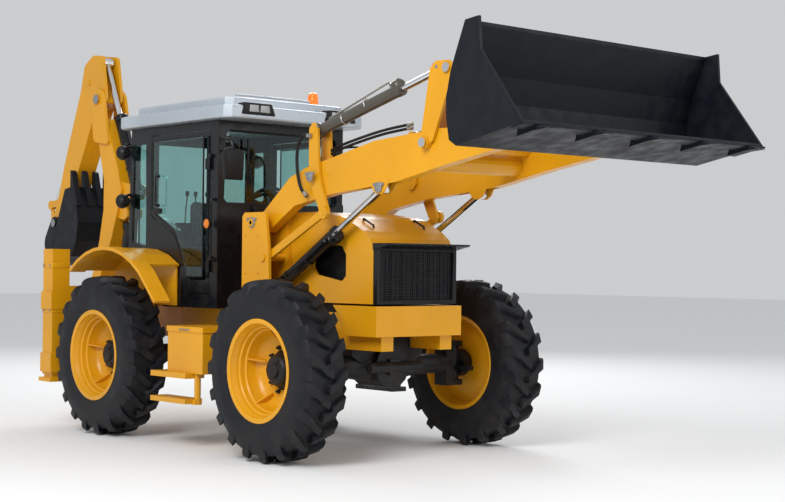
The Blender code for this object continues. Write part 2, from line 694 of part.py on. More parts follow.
def make_toolbox():
    """The right-hand toolbox, the smaller box behind it and the two step treads."""
    inner = RAIL_OUT + GAP
    body = box("toolbox", (-1.34, -0.84), (-1.10, -0.74), (0.60, 0.925))
    cut(body, box("toolbox_room", (-1.32, -0.86), (-1.08, -0.76), (0.62, 1.2)))
    join(body, box("bracket", (-1.30, -0.90), (-0.745, -inner), (0.84, 0.895)))
    upper = box("upper_box", (-1.05, -0.72), (-0.735, -0.650), (0.87, 1.09))
    join(body, upper)
    tread = box("tread", (-1.50, -0.99), (-1.16, -0.98), (0.560, 0.604))
    low = box("low_tread", (-1.50, -0.99), (-1.16, -1.00), (0.36, 0.40))
    post = rod("post", (-0.965, -1.06, 0.62), (-0.965, -1.06, 0.355), 0.026, 14)
    arm = box("tread_arm", (-1.01, -0.945), (-1.09, -1.03), (0.355, 0.395))
    join(body, tread, post, low, arm)
    return finish(body, "toolbox", "yellow_paint", None)


def make_toolbox_lid(pivot):
    body = box("lid", (-1.348, -0.832), (-1.108, -0.742), (0.925 + GAP, 0.968))
    return finish(body, "toolbox_lid", "yellow_paint", pivot)


def make_tank():
    """The left-hand fuel tank with its steps."""
    inner = RAIL_OUT + GAP
    shape = round_corners([(-1.40, 0.56), (-0.80, 0.56), (-0.80, 1.00), (-1.40, 1.00)], 0.05)
    body = plate("tank", shape, 0.67, 1.08)
    join(body, box("bracket", (-1.30, -1.00), (inner, 0.69), (0.84, 0.90)))
    tread = box("tread", (-1.52, -0.99), (0.98, 1.16), (0.60, 0.64))
    low = box("low_tread", (-1.50, -0.99), (1.00, 1.16), (0.36, 0.40))
    join(body, tread)
    for x in (-1.46, -1.03):
        join(body, rod("post", (x, 1.105, 0.62), (x, 1.105, 0.37), 0.022, 10))
    join(body, low)
    return finish(body, "fuel_tank", "black_paint", None)


# --- Loader -----------------------------------------------------------------------
ARM_SHAPE = [(-0.905, 1.86), (-0.925, 1.78), (-0.86, 1.715), (-0.761, 1.725), (-0.526, 1.864),
             (-0.408, 1.930), (-0.271, 1.955), (0.055, 2.008), (0.803, 2.075), (1.325, 2.175),
             (1.85, 2.262), (1.955, 2.245), (2.035, 2.295), (2.035, 2.375), (1.955, 2.425),
             (1.247, 2.434), (0.859, 2.407), (0.546, 2.385), (0.221, 2.318), (-0.266, 2.223),
             (-0.472, 2.153), (-0.813, 1.895)]


def make_arms(pivot):
    """Both arms with their cross tube, rod lugs and pin bores."""
    body = None
    for name, side in both_sides():
        arm = plate("arm", ARM_SHAPE, *at_side(side, ARM_Y - ARM_HALF, ARM_Y + ARM_HALF))
        for place in (ARM_PIVOT, ROCKER_PIN):
            cut(arm, pin("bore", place, side * 0.40, side * 0.60, PIN + BORE))
        cut(arm, pin("bore", LEVER_PIN, side * 0.40, side * 0.60, 0.043 + BORE))
        cut(arm, pin("bore", BUCKET_HINGE, side * 0.40, side * 0.60, PIN + BORE))
        slot = [(0.30, 1.90), (0.80, 1.90), (0.80, 2.10), (0.74, 2.18), (0.56, 2.19),
                (0.36, 2.10)]
        cut(arm, plate("rod_slot", slot, *at_side(side, ARM_Y - 0.036, ARM_Y + 0.036)))
        lug = round_corners([(0.50, 2.12), (0.56, 1.99), (0.668, 1.99), (0.74, 2.12)], 0.03)
        for near, far in ((ARM_Y - ARM_HALF - 0.002, ARM_Y - 0.037),
                          (ARM_Y + 0.037, ARM_Y + ARM_HALF + 0.002)):
            join(arm, plate("rod_lug", lug, *at_side(side, near, far)))
        if body is None:
            body = arm
        else:
            join(body, arm)
    join(body, pin("cross_tube", (1.02, 2.235), -ARM_Y + 0.02, ARM_Y - 0.02, 0.085, 18))
    return finish(body, "loader_arms", "yellow_paint", pivot)


def side_plates(name, shape, side, inner=None):
    """Two plates that straddle one arm, as a pair of working objects."""
    near = ARM_HALF + RUN
    outer = plate(name, shape, *at_side(side, ARM_Y + near, ARM_Y + near + SIDE_PLATE))
    inside = plate(name, shape, *at_side(side, ARM_Y - near - SIDE_PLATE, ARM_Y - near))
    return outer, inside


def make_rocker(name, side, pivot):
    """Two plates on the arm's pin: the outer one also reaches down to the levelling link."""
    m, t, f = ROCKER_PIN, ROCKER_TOP, ROCKER_FOOT
    long = round_corners([(t[0] - 0.05, t[1] + 0.055), (m[0] - 0.062, m[1]),
                          (f[0] - 0.055, f[1] - 0.045), (f[0] + 0.05, f[1] - 0.045),
                          (m[0] + 0.085, m[1] - 0.05), (m[0] + 0.062, m[1] + 0.05),
                          (t[0] + 0.05, t[1] + 0.055)], 0.045)
    short = round_corners([(t[0] - 0.05, t[1] + 0.055), (m[0] - 0.062, m[1] - 0.055),
                           (m[0] + 0.062, m[1] - 0.055), (t[0] + 0.05, t[1] + 0.055)], 0.045)
    near, far = ARM_HALF + RUN, ARM_HALF + RUN + SIDE_PLATE
    body = plate("rocker_outer", long, *at_side(side, ARM_Y + near, ARM_Y + far))
    join(body, plate("rocker_inner", short, *at_side(side, ARM_Y - far, ARM_Y - near)))
    for place in (m, t):
        join(body, pin("rocker_pin", place, side * (ARM_Y - far - 0.004),
                       side * (ARM_Y + far + 0.004), PIN, SEAT_STEPS))
    join(body, pin("foot_pin", f, side * (ARM_Y + near + 0.004),
                   side * (LINK_Y + LINK_HALF + 0.003), PIN - 0.006, SEAT_STEPS))
    return finish(body, name, "yellow_paint", pivot)


def make_level_link(name, side, pivot):
    """The bar from the tower to the rocker's foot."""
    body = bar("level_link", LEVEL_PIN, ROCKER_FOOT, 0.030, 0.050, side, LINK_HALF, LINK_Y)
    cut(body, pin("bore", LEVEL_PIN, side * 0.4, side * 0.7, PIN + BORE))
    cut(body, pin("bore", ROCKER_FOOT, side * 0.4, side * 0.7, PIN - 0.006 + BORE))
    return finish(body, name, "yellow_paint", pivot)


def bar(name, start, end, half_depth, eye, side, half_width, y=ARM_Y):
    """A flat bar between two eyes in the side view."""
    a, b = Vector(start), Vector(end)
    along = (b - a).normalized()
    across = Vector((-along.y, along.x)) * half_depth
    body = plate(name, [tuple(a + across), tuple(a - across), tuple(b - across),
                        tuple(b + across)], *at_side(side, y - half_width, y + half_width))
    for place in (start, end):
        join(body, pin("eye", place, side * (y - half_width - 0.001),
                       side * (y + half_width + 0.001), eye, 10))
    return body


def cylinder(label, base, eye, barrel_length, barrel_radius, rod_radius, y_signed, half,
             barrel_pivot, rod_pivot, pin_radius, barrel_paint="black_paint", eye_radius=0.045):
    """A hydraulic cylinder: barrel with base eye, and rod with rod eye."""
    a, b = Vector((base[0], y_signed, base[1])), Vector((eye[0], y_signed, eye[1]))
    along = (b - a).normalized()
    mouth = a + along * barrel_length
    barrel = rod("barrel", a + along * 0.04, mouth, barrel_radius, 10)
    join(barrel, rod("gland", mouth - along * 0.05, mouth - along * 0.002,
                     barrel_radius + 0.004, 10))
    join(barrel, rod("base_eye", (base[0], y_signed - half, base[1]),
                     (base[0], y_signed + half, base[1]), pin_radius + 0.024, 12))
    inside = rod_radius + FIT
    cut(barrel, rod("bore", a + along * (pin_radius + 0.05), mouth + along * 0.05, inside, 14))
    cut(barrel, rod("base_bore", (base[0], y_signed - half - 0.05, base[1]),
                    (base[0], y_signed + half + 0.05, base[1]), pin_radius + BORE,
                    SEAT_STEPS))
    finish(barrel, f"{label}_barrel", barrel_paint, barrel_pivot)
    reach = (b - a).length
    start = a + along * (pin_radius + 0.055 + max(0.0, reach - barrel_length - 0.05))
    shaft = rod("shaft", start, b - along * 0.02, rod_radius, 14)
    join(shaft, rod("rod_eye", (eye[0], y_signed - half, eye[1]),
                    (eye[0], y_signed + half, eye[1]), eye_radius, 10))
    cut(shaft, rod("eye_bore", (eye[0], y_signed - half - 0.05, eye[1]),
                   (eye[0], y_signed + half + 0.05, eye[1]), eye_radius - 0.018, 10))
    finish(shaft, f"{label}_rod", "chrome", rod_pivot)


def make_levers(pivot):
    """Both tilt levers on the sleeve that turns in the arms."""
    g, f, h = LEVER_PIN, LEVER_EYE, LINK_TOP
    shape = round_corners([(f[0] - 0.055, f[1] + 0.045), (g[0] - 0.06, g[1] - 0.03),
                           (g[0] + 0.06, g[1] - 0.03), (h[0] + 0.055, h[1] - 0.045),
                           (h[0] + 0.055, h[1] + 0.05)], 0.05)
    sleeve = pin("sleeve", g, -ARM_Y - 0.085, ARM_Y + 0.085, 0.043, 14)
    for name, side in both_sides():
        outer, inside = side_plates("lever", shape, side)
        join(sleeve, outer, inside)
    cut(sleeve, pin("sleeve_bore", g, -0.7, 0.7, SHAFT + BORE))
    cut(sleeve, pin("link_bore", h, -0.7, 0.7, SHAFT + BORE))
    return finish(sleeve, "tilt_levers", "yellow_paint", pivot)


def make_shaft(name, place, half, radius, pivot, collar=0.0):
    """A plain shaft across both arms."""
    body = pin("shaft", place, -half, half, radius, 16)
    if collar:
        for side in (-1, 1):
            join(body, pin("collar", place, side * (half - 0.006), side * (half + 0.004),
                           collar, 16))
    return finish(body, name, "chrome", pivot)


def make_bucket_links(pivot):
    """The two links from the levers to the bucket, tied by a cross tube."""
    body = None
    for name, side in both_sides():
        link = bar("link", LINK_TOP, BUCKET_EAR, 0.028, 0.045, side, 0.028)
        body = link if body is None else join(body, link)
    middle = ((LINK_TOP[0] + BUCKET_EAR[0]) / 2, (LINK_TOP[1] + BUCKET_EAR[1]) / 2)
    join(body, pin("tie", middle, -ARM_Y, ARM_Y, 0.022))
    for place, bore in ((LINK_TOP, SHAFT + BORE), (BUCKET_EAR, 0.030)):
        cut(body, pin("bore", place, -0.7, 0.7, bore))
    return finish(body, "bucket_links", "yellow_paint", pivot)


BUCKET_BACK = [(2.335, 3.022), (2.213, 3.009), (2.085, 2.704), (2.045, 2.53), (2.048, 2.40),
               (2.075, 2.262), (2.14, 2.222)]
BUCKET_LIP = (2.72, 2.335)


def make_bucket(pivot):
    """The loader bucket: side plates, wrapped shell, cutting edge, teeth and ears."""
    edge = [BUCKET_LIP, (2.350, 2.816)]
    outline = BUCKET_BACK + edge
    body = plate("bucket", outline, -BUCKET_HALF, BUCKET_HALF)
    t = BUCKET_PLATE
    room = [(2.40, 3.10), (2.228, 3.05), (2.226, 2.985), (2.106, 2.70), (2.067, 2.53),
            (2.070, 2.40), (2.094, 2.278), (2.145, 2.246), (2.80, 2.368), (2.9, 2.9)]
    cut(body, plate("bucket_room", room, -BUCKET_HALF + t, BUCKET_HALF - t))
    lip = [(BUCKET_LIP[0] - 0.09, BUCKET_LIP[1] - 0.034), (BUCKET_LIP[0] + 0.012, 2.318),
           (BUCKET_LIP[0] + 0.02, 2.328), (BUCKET_LIP[0] - 0.08, BUCKET_LIP[1] + 0.022)]
    join(body, plate("cutting_edge", lip, -BUCKET_HALF - 0.004, BUCKET_HALF + 0.004))
    for index in range(5):
        y = (index - 2) * 0.53
        tooth = [(BUCKET_LIP[0] - 0.16, 2.262), (BUCKET_LIP[0] - 0.02, 2.29), (2.82, 2.300),
                 (BUCKET_LIP[0] - 0.05, 2.345), (BUCKET_LIP[0] - 0.14, 2.325)]
        join(body, plate("tooth", tooth, y - 0.045, y + 0.045))
    for side in (-1, 1):
        for offset in (-1, 1):
            mid = ARM_Y + offset * (ARM_HALF + RUN + 0.013)
            ear = round_corners([(2.065, 2.25), (1.96, 2.27), (1.895, 2.32), (1.905, 2.39),
                                 (1.93, 2.66), (1.93, 2.775), (1.99, 2.79), (2.13, 2.79),
                                 (2.10, 2.70), (2.06, 2.53), (2.06, 2.40)], 0.02)
            plate_ear = plate("ear", ear, *at_side(side, mid - 0.012, mid + 0.012))
            cut(plate_ear, pin("hinge_bore", BUCKET_HINGE, side * 0.35, side * 0.65,
                           PIN + BORE))
            join(body, plate_ear)
    return finish(body, "loader_bucket", "bucket_paint", pivot)


# --- Rear frame and backhoe -------------------------------------------------------
def make_rear_frame():
    """Two slide rails between the stabiliser sleeves, bolted to the chassis rails."""
    y = SLEEVE_IN + 0.008
    body = box("upper_rail", (FRAME_BACK, FRAME_FRONT), (-y, y), (1.14, 1.26))
    join(body, box("lower_rail", (FRAME_BACK, FRAME_FRONT), (-y, y), (0.56, 0.68)))
    for side in (-1, 1):
        join(body, box("upright", (FRAME_FRONT - 0.05, RAIL_REAR - GAP),
                       at_side(side, 0.22, 0.40), (0.63, 1.195)))
        sleeve = box("sleeve", (SLEEVE_BACK, SLEEVE_FRONT), at_side(side, SLEEVE_IN, SLEEVE_OUT),
                     (SLEEVE_BOTTOM, SLEEVE_TOP))
        for low, high in ((1.05, 1.21), (0.49, 0.66)):
            join(sleeve, box("collar", (SLEEVE_BACK - 0.012, SLEEVE_FRONT + 0.012),
                             at_side(side, SLEEVE_IN - 0.012, SLEEVE_OUT + 0.015), (low, high)))
        w = SLEEVE_WALL
        cut(sleeve, box("sleeve_room", (SLEEVE_BACK + w, SLEEVE_FRONT - w),
                        at_side(side, SLEEVE_IN + w, SLEEVE_OUT - w),
                        (SLEEVE_BOTTOM - 0.1, SLEEVE_TOP - w)))
        join(body, sleeve)
    return finish(body, "rear_frame", "yellow_paint", None)


def make_leg(name, side, pivot):
    """A stabiliser leg inside its sleeve, with its foot pad."""
    g = SLEEVE_WALL + FIT
    body = box("leg", (SLEEVE_BACK + g, SLEEVE_FRONT - g), at_side(side, SLEEVE_IN + g,
               SLEEVE_OUT - g), (0.43, 1.50))
    join(body, box("pad", (SLEEVE_BACK - 0.03, SLEEVE_FRONT + 0.015),
                   at_side(side, SLEEVE_IN - 0.03, SLEEVE_OUT + 0.02), (0.405, 0.44)))
    return finish(body, name, "yellow_paint", pivot)


def make_carriage(pivot):
    """The plate that slides along the rear frame, with hooks and swing lugs."""
    y0, y1 = HOE_Y - 0.28, HOE_Y + 0.28
    back = FRAME_BACK - RUN
    body = box("carriage", (back - 0.04, back), (y0, y1), (0.50, 1.31))
    cut(body, box("ram_notch", (back - 0.1, back + 0.1), (HOE_Y - 0.17, HOE_Y + 0.17),
                  (1.20, 1.4)))
    top = 1.26 + GAP
    hook = [(back - 0.03, top), (back - 0.03, 1.31), (FRAME_FRONT + 0.04, 1.31),
            (FRAME_FRONT + 0.04, 1.21), (FRAME_FRONT + RUN, 1.21), (FRAME_FRONT + RUN, top)]
    low = [(back - 0.03, 0.56 - RUN), (back - 0.03, 0.51), (FRAME_FRONT + 0.035, 0.51),
           (FRAME_FRONT + 0.035, 0.61), (FRAME_FRONT + RUN, 0.61), (FRAME_FRONT + RUN, 0.56 - RUN)]
    for y in (y0, y1 - 0.12):
        join(body, plate("hook", hook, y, y + 0.12), plate("hook", low, y, y + 0.12))
    for z0, z1 in ((0.61, 0.67), (0.95, 1.00)):
        nose = LUG_NOSE
        lug = [(back - 0.02, HOE_Y - 0.22), (SWING_X + 0.115, HOE_Y - nose)]
        lug += arc((SWING_X, HOE_Y), nose, 270, 90, 8)
        lug += [(SWING_X + 0.115, HOE_Y + nose), (back - 0.02, HOE_Y + 0.22)]
        ledge = plate("swing_lug", lug, z0, z1, "Z")
        cut(ledge, rod("swing_bore", (SWING_X, HOE_Y, z0 - 0.1), (SWING_X, HOE_Y, z1 + 0.1),
                       0.045 + BORE, SEAT_STEPS))
        join(body, ledge)
    return finish(body, "backhoe_carriage", "yellow_paint", pivot)


def make_kingpost(pivot):
    """The swing casting: it turns on the lugs and carries the boom and its cylinder."""
    p, q = BOOM_PIVOT, BOOM_RAM_BASE
    inner = SWING_X - LUG_NOSE - RUN
    wall = inner - 0.060
    core = rod("core", (SWING_X, HOE_Y, 0.67 + RUN), (SWING_X, HOE_Y, 0.95 - RUN), 0.070, 16)
    spine = [(inner, 0.63), (inner, 1.006), (q[0] + 0.03, 1.006), (q[0] + 0.052, 1.04),
             (q[0] + 0.045, q[1] + 0.045), (q[0] - 0.05, q[1] + 0.045), (-3.48, 1.085),
             (wall, 1.085), (wall, 0.63)]
    body = plate("spine", spine, HOE_Y - 0.10, HOE_Y + 0.10)
    cut(body, box("ram_slot", (wall + 0.03, -3.25), (HOE_Y - 0.058, HOE_Y + 0.058),
                  (1.040, 1.3)))
    join(body, box("web", (inner - 0.01, SWING_X), (HOE_Y - 0.05, HOE_Y + 0.05), (0.70, 0.92)))
    join(body, core)
    join(body, rod("swing_pin", (SWING_X, HOE_Y, 0.600), (SWING_X, HOE_Y, 1.02), 0.045, 16))
    near, far = BOOM_HALF + RUN, BOOM_HALF + RUN + 0.025
    cheek = round_corners([(wall + 0.03, 0.66), (wall + 0.03, 1.05), (p[0] + 0.05, 1.14),
                           (p[0] - 0.07, 1.12), (p[0] - 0.085, 0.98), (p[0] + 0.05, 0.66)],
                          0.03)
    for side in (-1, 1):
        ends = sorted((HOE_Y + side * near, HOE_Y + side * far))
        join(body, plate("cheek", cheek, *ends))
    join(body, box("cheek_tie", (wall + 0.006, wall + 0.024), (HOE_Y - 0.13, HOE_Y + 0.13),
                   (0.67, 1.00)))
    join(body, pin("boom_pin", p, HOE_Y - 0.140, HOE_Y + 0.140, 0.035))
    join(body, pin("ram_pin", q, HOE_Y - 0.099, HOE_Y + 0.099, 0.030))
    return finish(body, "swing_kingpost", "yellow_paint", pivot)


BOOM_SHAPE = [(-3.893, 1.04), (-3.86, 0.970), (-3.80, 0.947), (-3.735, 0.973),
              (-3.710, 1.03), (-3.50, 1.42),
              (-3.345, 1.70), (-3.245, 1.95), (-3.175, 2.15), (-3.25, 2.36), (-3.36, 2.60),
              (-3.475, 2.83), (-3.665, 2.80), (-3.584, 2.559), (-3.493, 2.252), (-3.495, 1.969),
              (-3.563, 1.687), (-3.66, 1.40), (-3.85, 1.12)]


def make_boom(pivot):
    """The boom: a bent box with a forked nose and lugs for both cylinders."""
    body = plate("boom", BOOM_SHAPE, HOE_Y - BOOM_HALF, HOE_Y + BOOM_HALF)
    d = DIPPER_PIVOT
    cheek = round_corners([(-3.66, 2.62), (-3.38, 2.58), (-3.44, 2.84), (d[0] + 0.10, d[1] + 0.05),
                           (d[0] + 0.02, d[1] + 0.11), (d[0] - 0.08, d[1] + 0.06),
                           (-3.69, 2.84)], 0.03)
    for side in (-1, 1):
        near = HOE_Y + side * (BOOM_HALF - 0.003)
        far = HOE_Y + side * (BOOM_HALF + 0.024)
        join(body, plate("nose_cheek", cheek, *sorted((near, far))))
    join(body, pin("dipper_pin", d, HOE_Y - 0.142, HOE_Y + 0.142, 0.034))
    for place, lug in ((DIPPER_RAM_BASE, [(-3.22, 2.05), (-3.09, 2.06), (-3.01, 2.11),
                                          (-3.01, 2.175), (-3.07, 2.20), (-3.24, 2.24)]),
                       (BOOM_RAM_EYE, [(-3.30, 1.90), (-3.17, 1.87), (-3.105, 1.90),
                                       (-3.105, 1.96), (-3.15, 1.99), (-3.26, 2.03)])):
        for side in (-1, 1):
            near, far = HOE_Y + side * 0.058, HOE_Y + side * 0.080
            join(body, plate("ram_lug", lug, *sorted((near, far))))
    join(body, pin("ram_pin", DIPPER_RAM_BASE, HOE_Y - 0.092, HOE_Y + 0.092, 0.030))
    cut(body, pin("foot_bore", BOOM_PIVOT, HOE_Y - 0.3, HOE_Y + 0.3, 0.035 + BORE))
    return finish(body, "boom", "yellow_paint", pivot)


def make_dipper(pivot):
    """The dipper: a channel of two side plates and a front web."""
    d, k, e, w = DIPPER_PIVOT, DIPPER_RAM_EYE, HOE_BUCKET_PIVOT, LEVER_ROOT
    outline = [(-3.50, 2.985), (-3.50, 3.07), (k[0] + 0.085, k[1] - 0.02), (k[0] + 0.07, k[1] + 0.055),
               (k[0] - 0.10, k[1] + 0.075), (-3.90, 3.37), (-3.935, 3.24), (-3.97, 3.12),
               (-4.16, 2.69), (-4.27, 2.43), (-4.37, 2.15), (e[0] - 0.085, e[1] + 0.04),
               (e[0] - 0.06, e[1] - 0.07), (e[0] + 0.04, e[1] - 0.08), (-4.19, 2.02),
               (-4.05, 2.27), (-3.885, 2.557), (-3.74, 2.83), (-3.66, 2.95)]
    shape = round_corners(outline, 0.02)
    body = plate("dipper", shape, HOE_Y - DIPPER_HALF, HOE_Y + DIPPER_HALF)
    inner = DIPPER_HALF - 0.020
    channel = [(-4.6, 1.70), (e[0] + 0.12, 1.70), (-4.200, 2.06), (-4.085, 2.27),
               (-3.925, 2.557), (-3.78, 2.83), (-3.72, 2.97), (-3.74, 3.28), (-4.2, 3.30)]
    cut(body, plate("channel", channel, HOE_Y - inner, HOE_Y + inner))
    tail = [(k[0] - 0.060, k[1] - 0.080), (k[0] + 0.000, k[1] - 0.190), (-3.487, 2.957),
            (-3.30, 2.95), (-3.30, 3.60), (k[0] - 0.060, 3.60)]
    cut(body, plate("tail_slot", tail, HOE_Y - 0.066, HOE_Y + 0.066))
    cut(body, pin("pivot_bore", d, HOE_Y - 0.3, HOE_Y + 0.3, 0.034 + BORE))
    for place, radius in ((HOE_RAM_BASE, 0.028), (w, 0.028)):
        join(body, pin("cross_pin", place, HOE_Y - DIPPER_HALF - 0.008,
                       HOE_Y + DIPPER_HALF + 0.008, radius, 10))
    cut(body, pin("bucket_bore", e, HOE_Y - 0.3, HOE_Y + 0.3, 0.032 + BORE))
    return finish(body, "dipper", "yellow_paint", pivot)


def make_tipping_lever(pivot):
    """Two bars side by side between the dipper's plates, tied by a bush."""
    w, t = LEVER_ROOT, HOE_RAM_EYE
    body = None
    for side in (-1, 1):
        one = bar("lever", w, t, 0.032, 0.046, 1, 0.008, HOE_Y + side * 0.060)
        body = one if body is None else join(body, one)
    join(body, pin("bush", w, HOE_Y - 0.060, HOE_Y + 0.060, 0.044))
    for side in (-1, 1):
        join(body, pin("lever_pin", t, HOE_Y + side * 0.036, HOE_Y + side * 0.064, 0.022,
                       SEAT_STEPS))
    cut(body, pin("bore", w, HOE_Y - 0.3, HOE_Y + 0.3, 0.028 + BORE))
    return finish(body, "tipping_lever", "yellow_paint", pivot)


def make_hoe_link(pivot):
    """The link from the tipping lever's pin to the bucket."""
    t, v = HOE_RAM_EYE, HOE_LINK_EYE
    body = None
    for side in (-1, 1):
        one = bar("link", t, v, 0.030, 0.044, 1, 0.006, HOE_Y + side * 0.0425)
        body = one if body is None else join(body, one)
    middle = ((t[0] + v[0]) / 2 - 0.0, (t[1] + v[1]) / 2 - 0.05)
    join(body, pin("tie", middle, HOE_Y - 0.042, HOE_Y + 0.042, 0.024))
    cut(body, pin("bore", t, HOE_Y - 0.3, HOE_Y + 0.3, 0.022 + BORE))
    cut(body, pin("bore", v, HOE_Y - 0.3, HOE_Y + 0.3, 0.030))
    return finish(body, "hoe_bucket_link", "yellow_paint", pivot)


def make_hoe_bucket(pivot):
    """The digging bucket: curved shell, side plates, ears and four teeth."""
    back = [(-4.475, 1.565), (-4.42, 1.50), (-4.28, 1.44), (-4.10, 1.445), (-3.93, 1.53),
            (-3.83, 1.68), (-3.80, 1.86), (-3.84, 2.04), (-3.93, 2.20)]
    mouth = [(-4.06, 2.18), (-4.30, 1.66)]
    body = plate("hoe_bucket", back + mouth, HOE_Y - HOE_BUCKET_HALF, HOE_Y + HOE_BUCKET_HALF)
    room = [(-4.55, 1.70), (-4.455, 1.590), (-4.405, 1.525), (-4.275, 1.468), (-4.11, 1.472),
            (-3.95, 1.55), (-3.858, 1.69), (-3.830, 1.86), (-3.868, 2.03), (-3.975, 2.22),
            (-4.2, 2.4), (-4.5, 1.9)]
    inner = HOE_BUCKET_HALF - 0.018
    cut(body, plate("hoe_room", room, HOE_Y - inner, HOE_Y + inner))
    e, v = HOE_BUCKET_PIVOT, HOE_LINK_EYE
    ear = round_corners([(-4.36, 1.50), (-4.30, 1.70), (e[0] + 0.065, e[1] + 0.045),
                         (e[0] - 0.045, e[1] + 0.07), (v[0] - 0.055, v[1] + 0.05),
                         (v[0] - 0.045, v[1] - 0.055), (-4.48, 1.545)], 0.03)
    for side in (-1, 1):
        near = HOE_Y + side * (DIPPER_HALF + RUN + 0.001)
        far = near + side * 0.024
        join(body, plate("hoe_ear", ear, *sorted((near, far))))
    join(body, pin("bucket_pin", e, HOE_Y - 0.14, HOE_Y + 0.14, 0.032))
    tooth = [(-3.815, 2.02), (-3.86, 2.02), (-3.955, 2.20), (-3.955, 2.36), (-3.925, 2.345),
             (-3.88, 2.20)]
    for index in range(4):
        y = HOE_Y + (index - 1.5) * 0.118
        join(body, plate("hoe_tooth", tooth, y - 0.028, y + 0.028))
    return finish(body, "backhoe_bucket", "bucket_paint", pivot)


# --- Assembly ---------------------------------------------------------------------
def pivot_at(name, place, y=0.0, parent=None):
    return empty(name, (place[0], y, place[1]), parent or origin)


make_chassis()
make_engine()
make_axle("front_axle", 0.0, True)
make_axle("rear_axle", -WHEELBASE, False)
make_fenders()
make_cab()
make_roof()
make_toolbox()
make_tank()
make_rear_frame()

bonnet_pivot = pivot_at("bonnet_pivot", (BONNET_REAR + 0.01, BONNET_TOP - 0.01))
make_bonnet(bonnet_pivot)
make_grille(bonnet_pivot)
make_toolbox_lid(pivot_at("lid_pivot", (-1.09, 0.968), -0.742))
make_seat(pivot_at("seat_pivot", (SEAT_X, SEAT_BASE)))

for name, side in both_sides():
    make_door(f"door_{name}", side,
              pivot_at(f"door_{name}_pivot", (DOOR_FRONT + HINGE_AHEAD, 1.9), side * HINGE_Y))
    knuckle = pivot_at(f"knuckle_{name}_pivot", (0.0, TYRE_RADIUS), side * KINGPIN_Y)
    make_knuckle(f"knuckle_{name}", side, knuckle)
    for end, x, parent in (("front", 0.0, knuckle), ("rear", -WHEELBASE, origin)):
        hub = pivot_at(f"{end}_{name}_hub", (x, TYRE_RADIUS), side * TRACK_HALF, parent)
        make_wheel((f"{end}_{name}", x), side, hub)
    leg = pivot_at(f"leg_{name}_slide", ((SLEEVE_BACK + SLEEVE_FRONT) / 2, 0.44),
                   side * (SLEEVE_IN + SLEEVE_OUT) / 2)
    make_leg(f"stabiliser_leg_{name}", side, leg)

arms = pivot_at("arm_pivot", ARM_PIVOT)
make_arms(arms)
rockers = pivot_at("rocker_pivot", ROCKER_PIN, 0, arms)
links = pivot_at("level_pivot", LEVEL_PIN)
lift_base = pivot_at("lift_base_pivot", LIFT_BASE)
lift_slide = pivot_at("lift_rod_slide", LIFT_EYE, 0, lift_base)
tilt_base = pivot_at("tilt_base_pivot", ROCKER_TOP, 0, rockers)
tilt_slide = pivot_at("tilt_rod_slide", LEVER_EYE, 0, tilt_base)
for name, side in both_sides():
    make_rocker(f"rocker_{name}", side, rockers)
    make_level_link(f"level_link_{name}", side, links)
    cylinder(f"lift_cylinder_{name}", LIFT_BASE, LIFT_EYE, 1.02, 0.048, 0.026, side * ARM_Y,
             0.030, lift_base, lift_slide, PIN)
    cylinder(f"tilt_cylinder_{name}", ROCKER_TOP, LEVER_EYE, 0.987, 0.046, 0.025,
             side * ARM_Y, 0.030, tilt_base, tilt_slide, PIN, "cylinder_paint")
lever_turn = pivot_at("lever_shaft_pivot", LEVER_PIN, 0, arms)
make_shaft("lever_shaft", LEVER_PIN, 0.605, SHAFT, lever_turn, 0.034)
levers = pivot_at("lever_pivot", LEVER_PIN, 0, lever_turn)
make_levers(levers)
link_turn = pivot_at("link_shaft_pivot", LINK_TOP, 0, levers)
make_shaft("link_shaft", LINK_TOP, 0.590, SHAFT, link_turn, 0.034)
make_bucket_links(pivot_at("link_pivot", LINK_TOP, 0, link_turn))
bucket_turn = pivot_at("bucket_shaft_pivot", BUCKET_HINGE, 0, arms)
make_shaft("bucket_shaft", BUCKET_HINGE, 0.605, PIN, bucket_turn, 0.044)
make_bucket(pivot_at("bucket_pivot", BUCKET_HINGE, 0, bucket_turn))

carriage = pivot_at("carriage_slide", (FRAME_BACK, 0.91), HOE_Y)
make_carriage(carriage)
swing = pivot_at("swing_pivot", (SWING_X, 0.81), HOE_Y, carriage)
make_kingpost(swing)
boom = pivot_at("boom_pivot", BOOM_PIVOT, HOE_Y, swing)
make_boom(boom)
boom_ram = pivot_at("boom_ram_pivot", BOOM_RAM_BASE, HOE_Y, swing)
cylinder("boom_cylinder", BOOM_RAM_BASE, BOOM_RAM_EYE, 0.77, 0.052, 0.028, HOE_Y, 0.050,
         boom_ram, pivot_at("boom_rod_slide", BOOM_RAM_EYE, HOE_Y, boom_ram), 0.030)
dipper = pivot_at("dipper_pivot", DIPPER_PIVOT, HOE_Y, boom)
make_dipper(dipper)
dipper_ram = pivot_at("dipper_ram_pivot", DIPPER_RAM_BASE, HOE_Y, boom)
cylinder("dipper_cylinder", DIPPER_RAM_BASE, DIPPER_RAM_EYE, 0.78, 0.055, 0.028, HOE_Y, 0.046,
         dipper_ram, pivot_at("dipper_rod_slide", DIPPER_RAM_EYE, HOE_Y, dipper_ram), 0.030)
hoe_ram = pivot_at("hoe_ram_pivot", HOE_RAM_BASE, HOE_Y, dipper)
cylinder("hoe_bucket_cylinder", HOE_RAM_BASE, HOE_RAM_EYE, 0.80, 0.044, 0.024, HOE_Y, 0.029,
         hoe_ram, pivot_at("hoe_rod_slide", HOE_RAM_EYE, HOE_Y, hoe_ram), 0.028)
tip = pivot_at("tipping_pivot", LEVER_ROOT, HOE_Y, dipper)
make_tipping_lever(tip)
make_hoe_link(pivot_at("hoe_link_pivot", HOE_RAM_EYE, HOE_Y, tip))
make_hoe_bucket(pivot_at("hoe_bucket_pivot", HOE_BUCKET_PIVOT, HOE_Y, dipper))

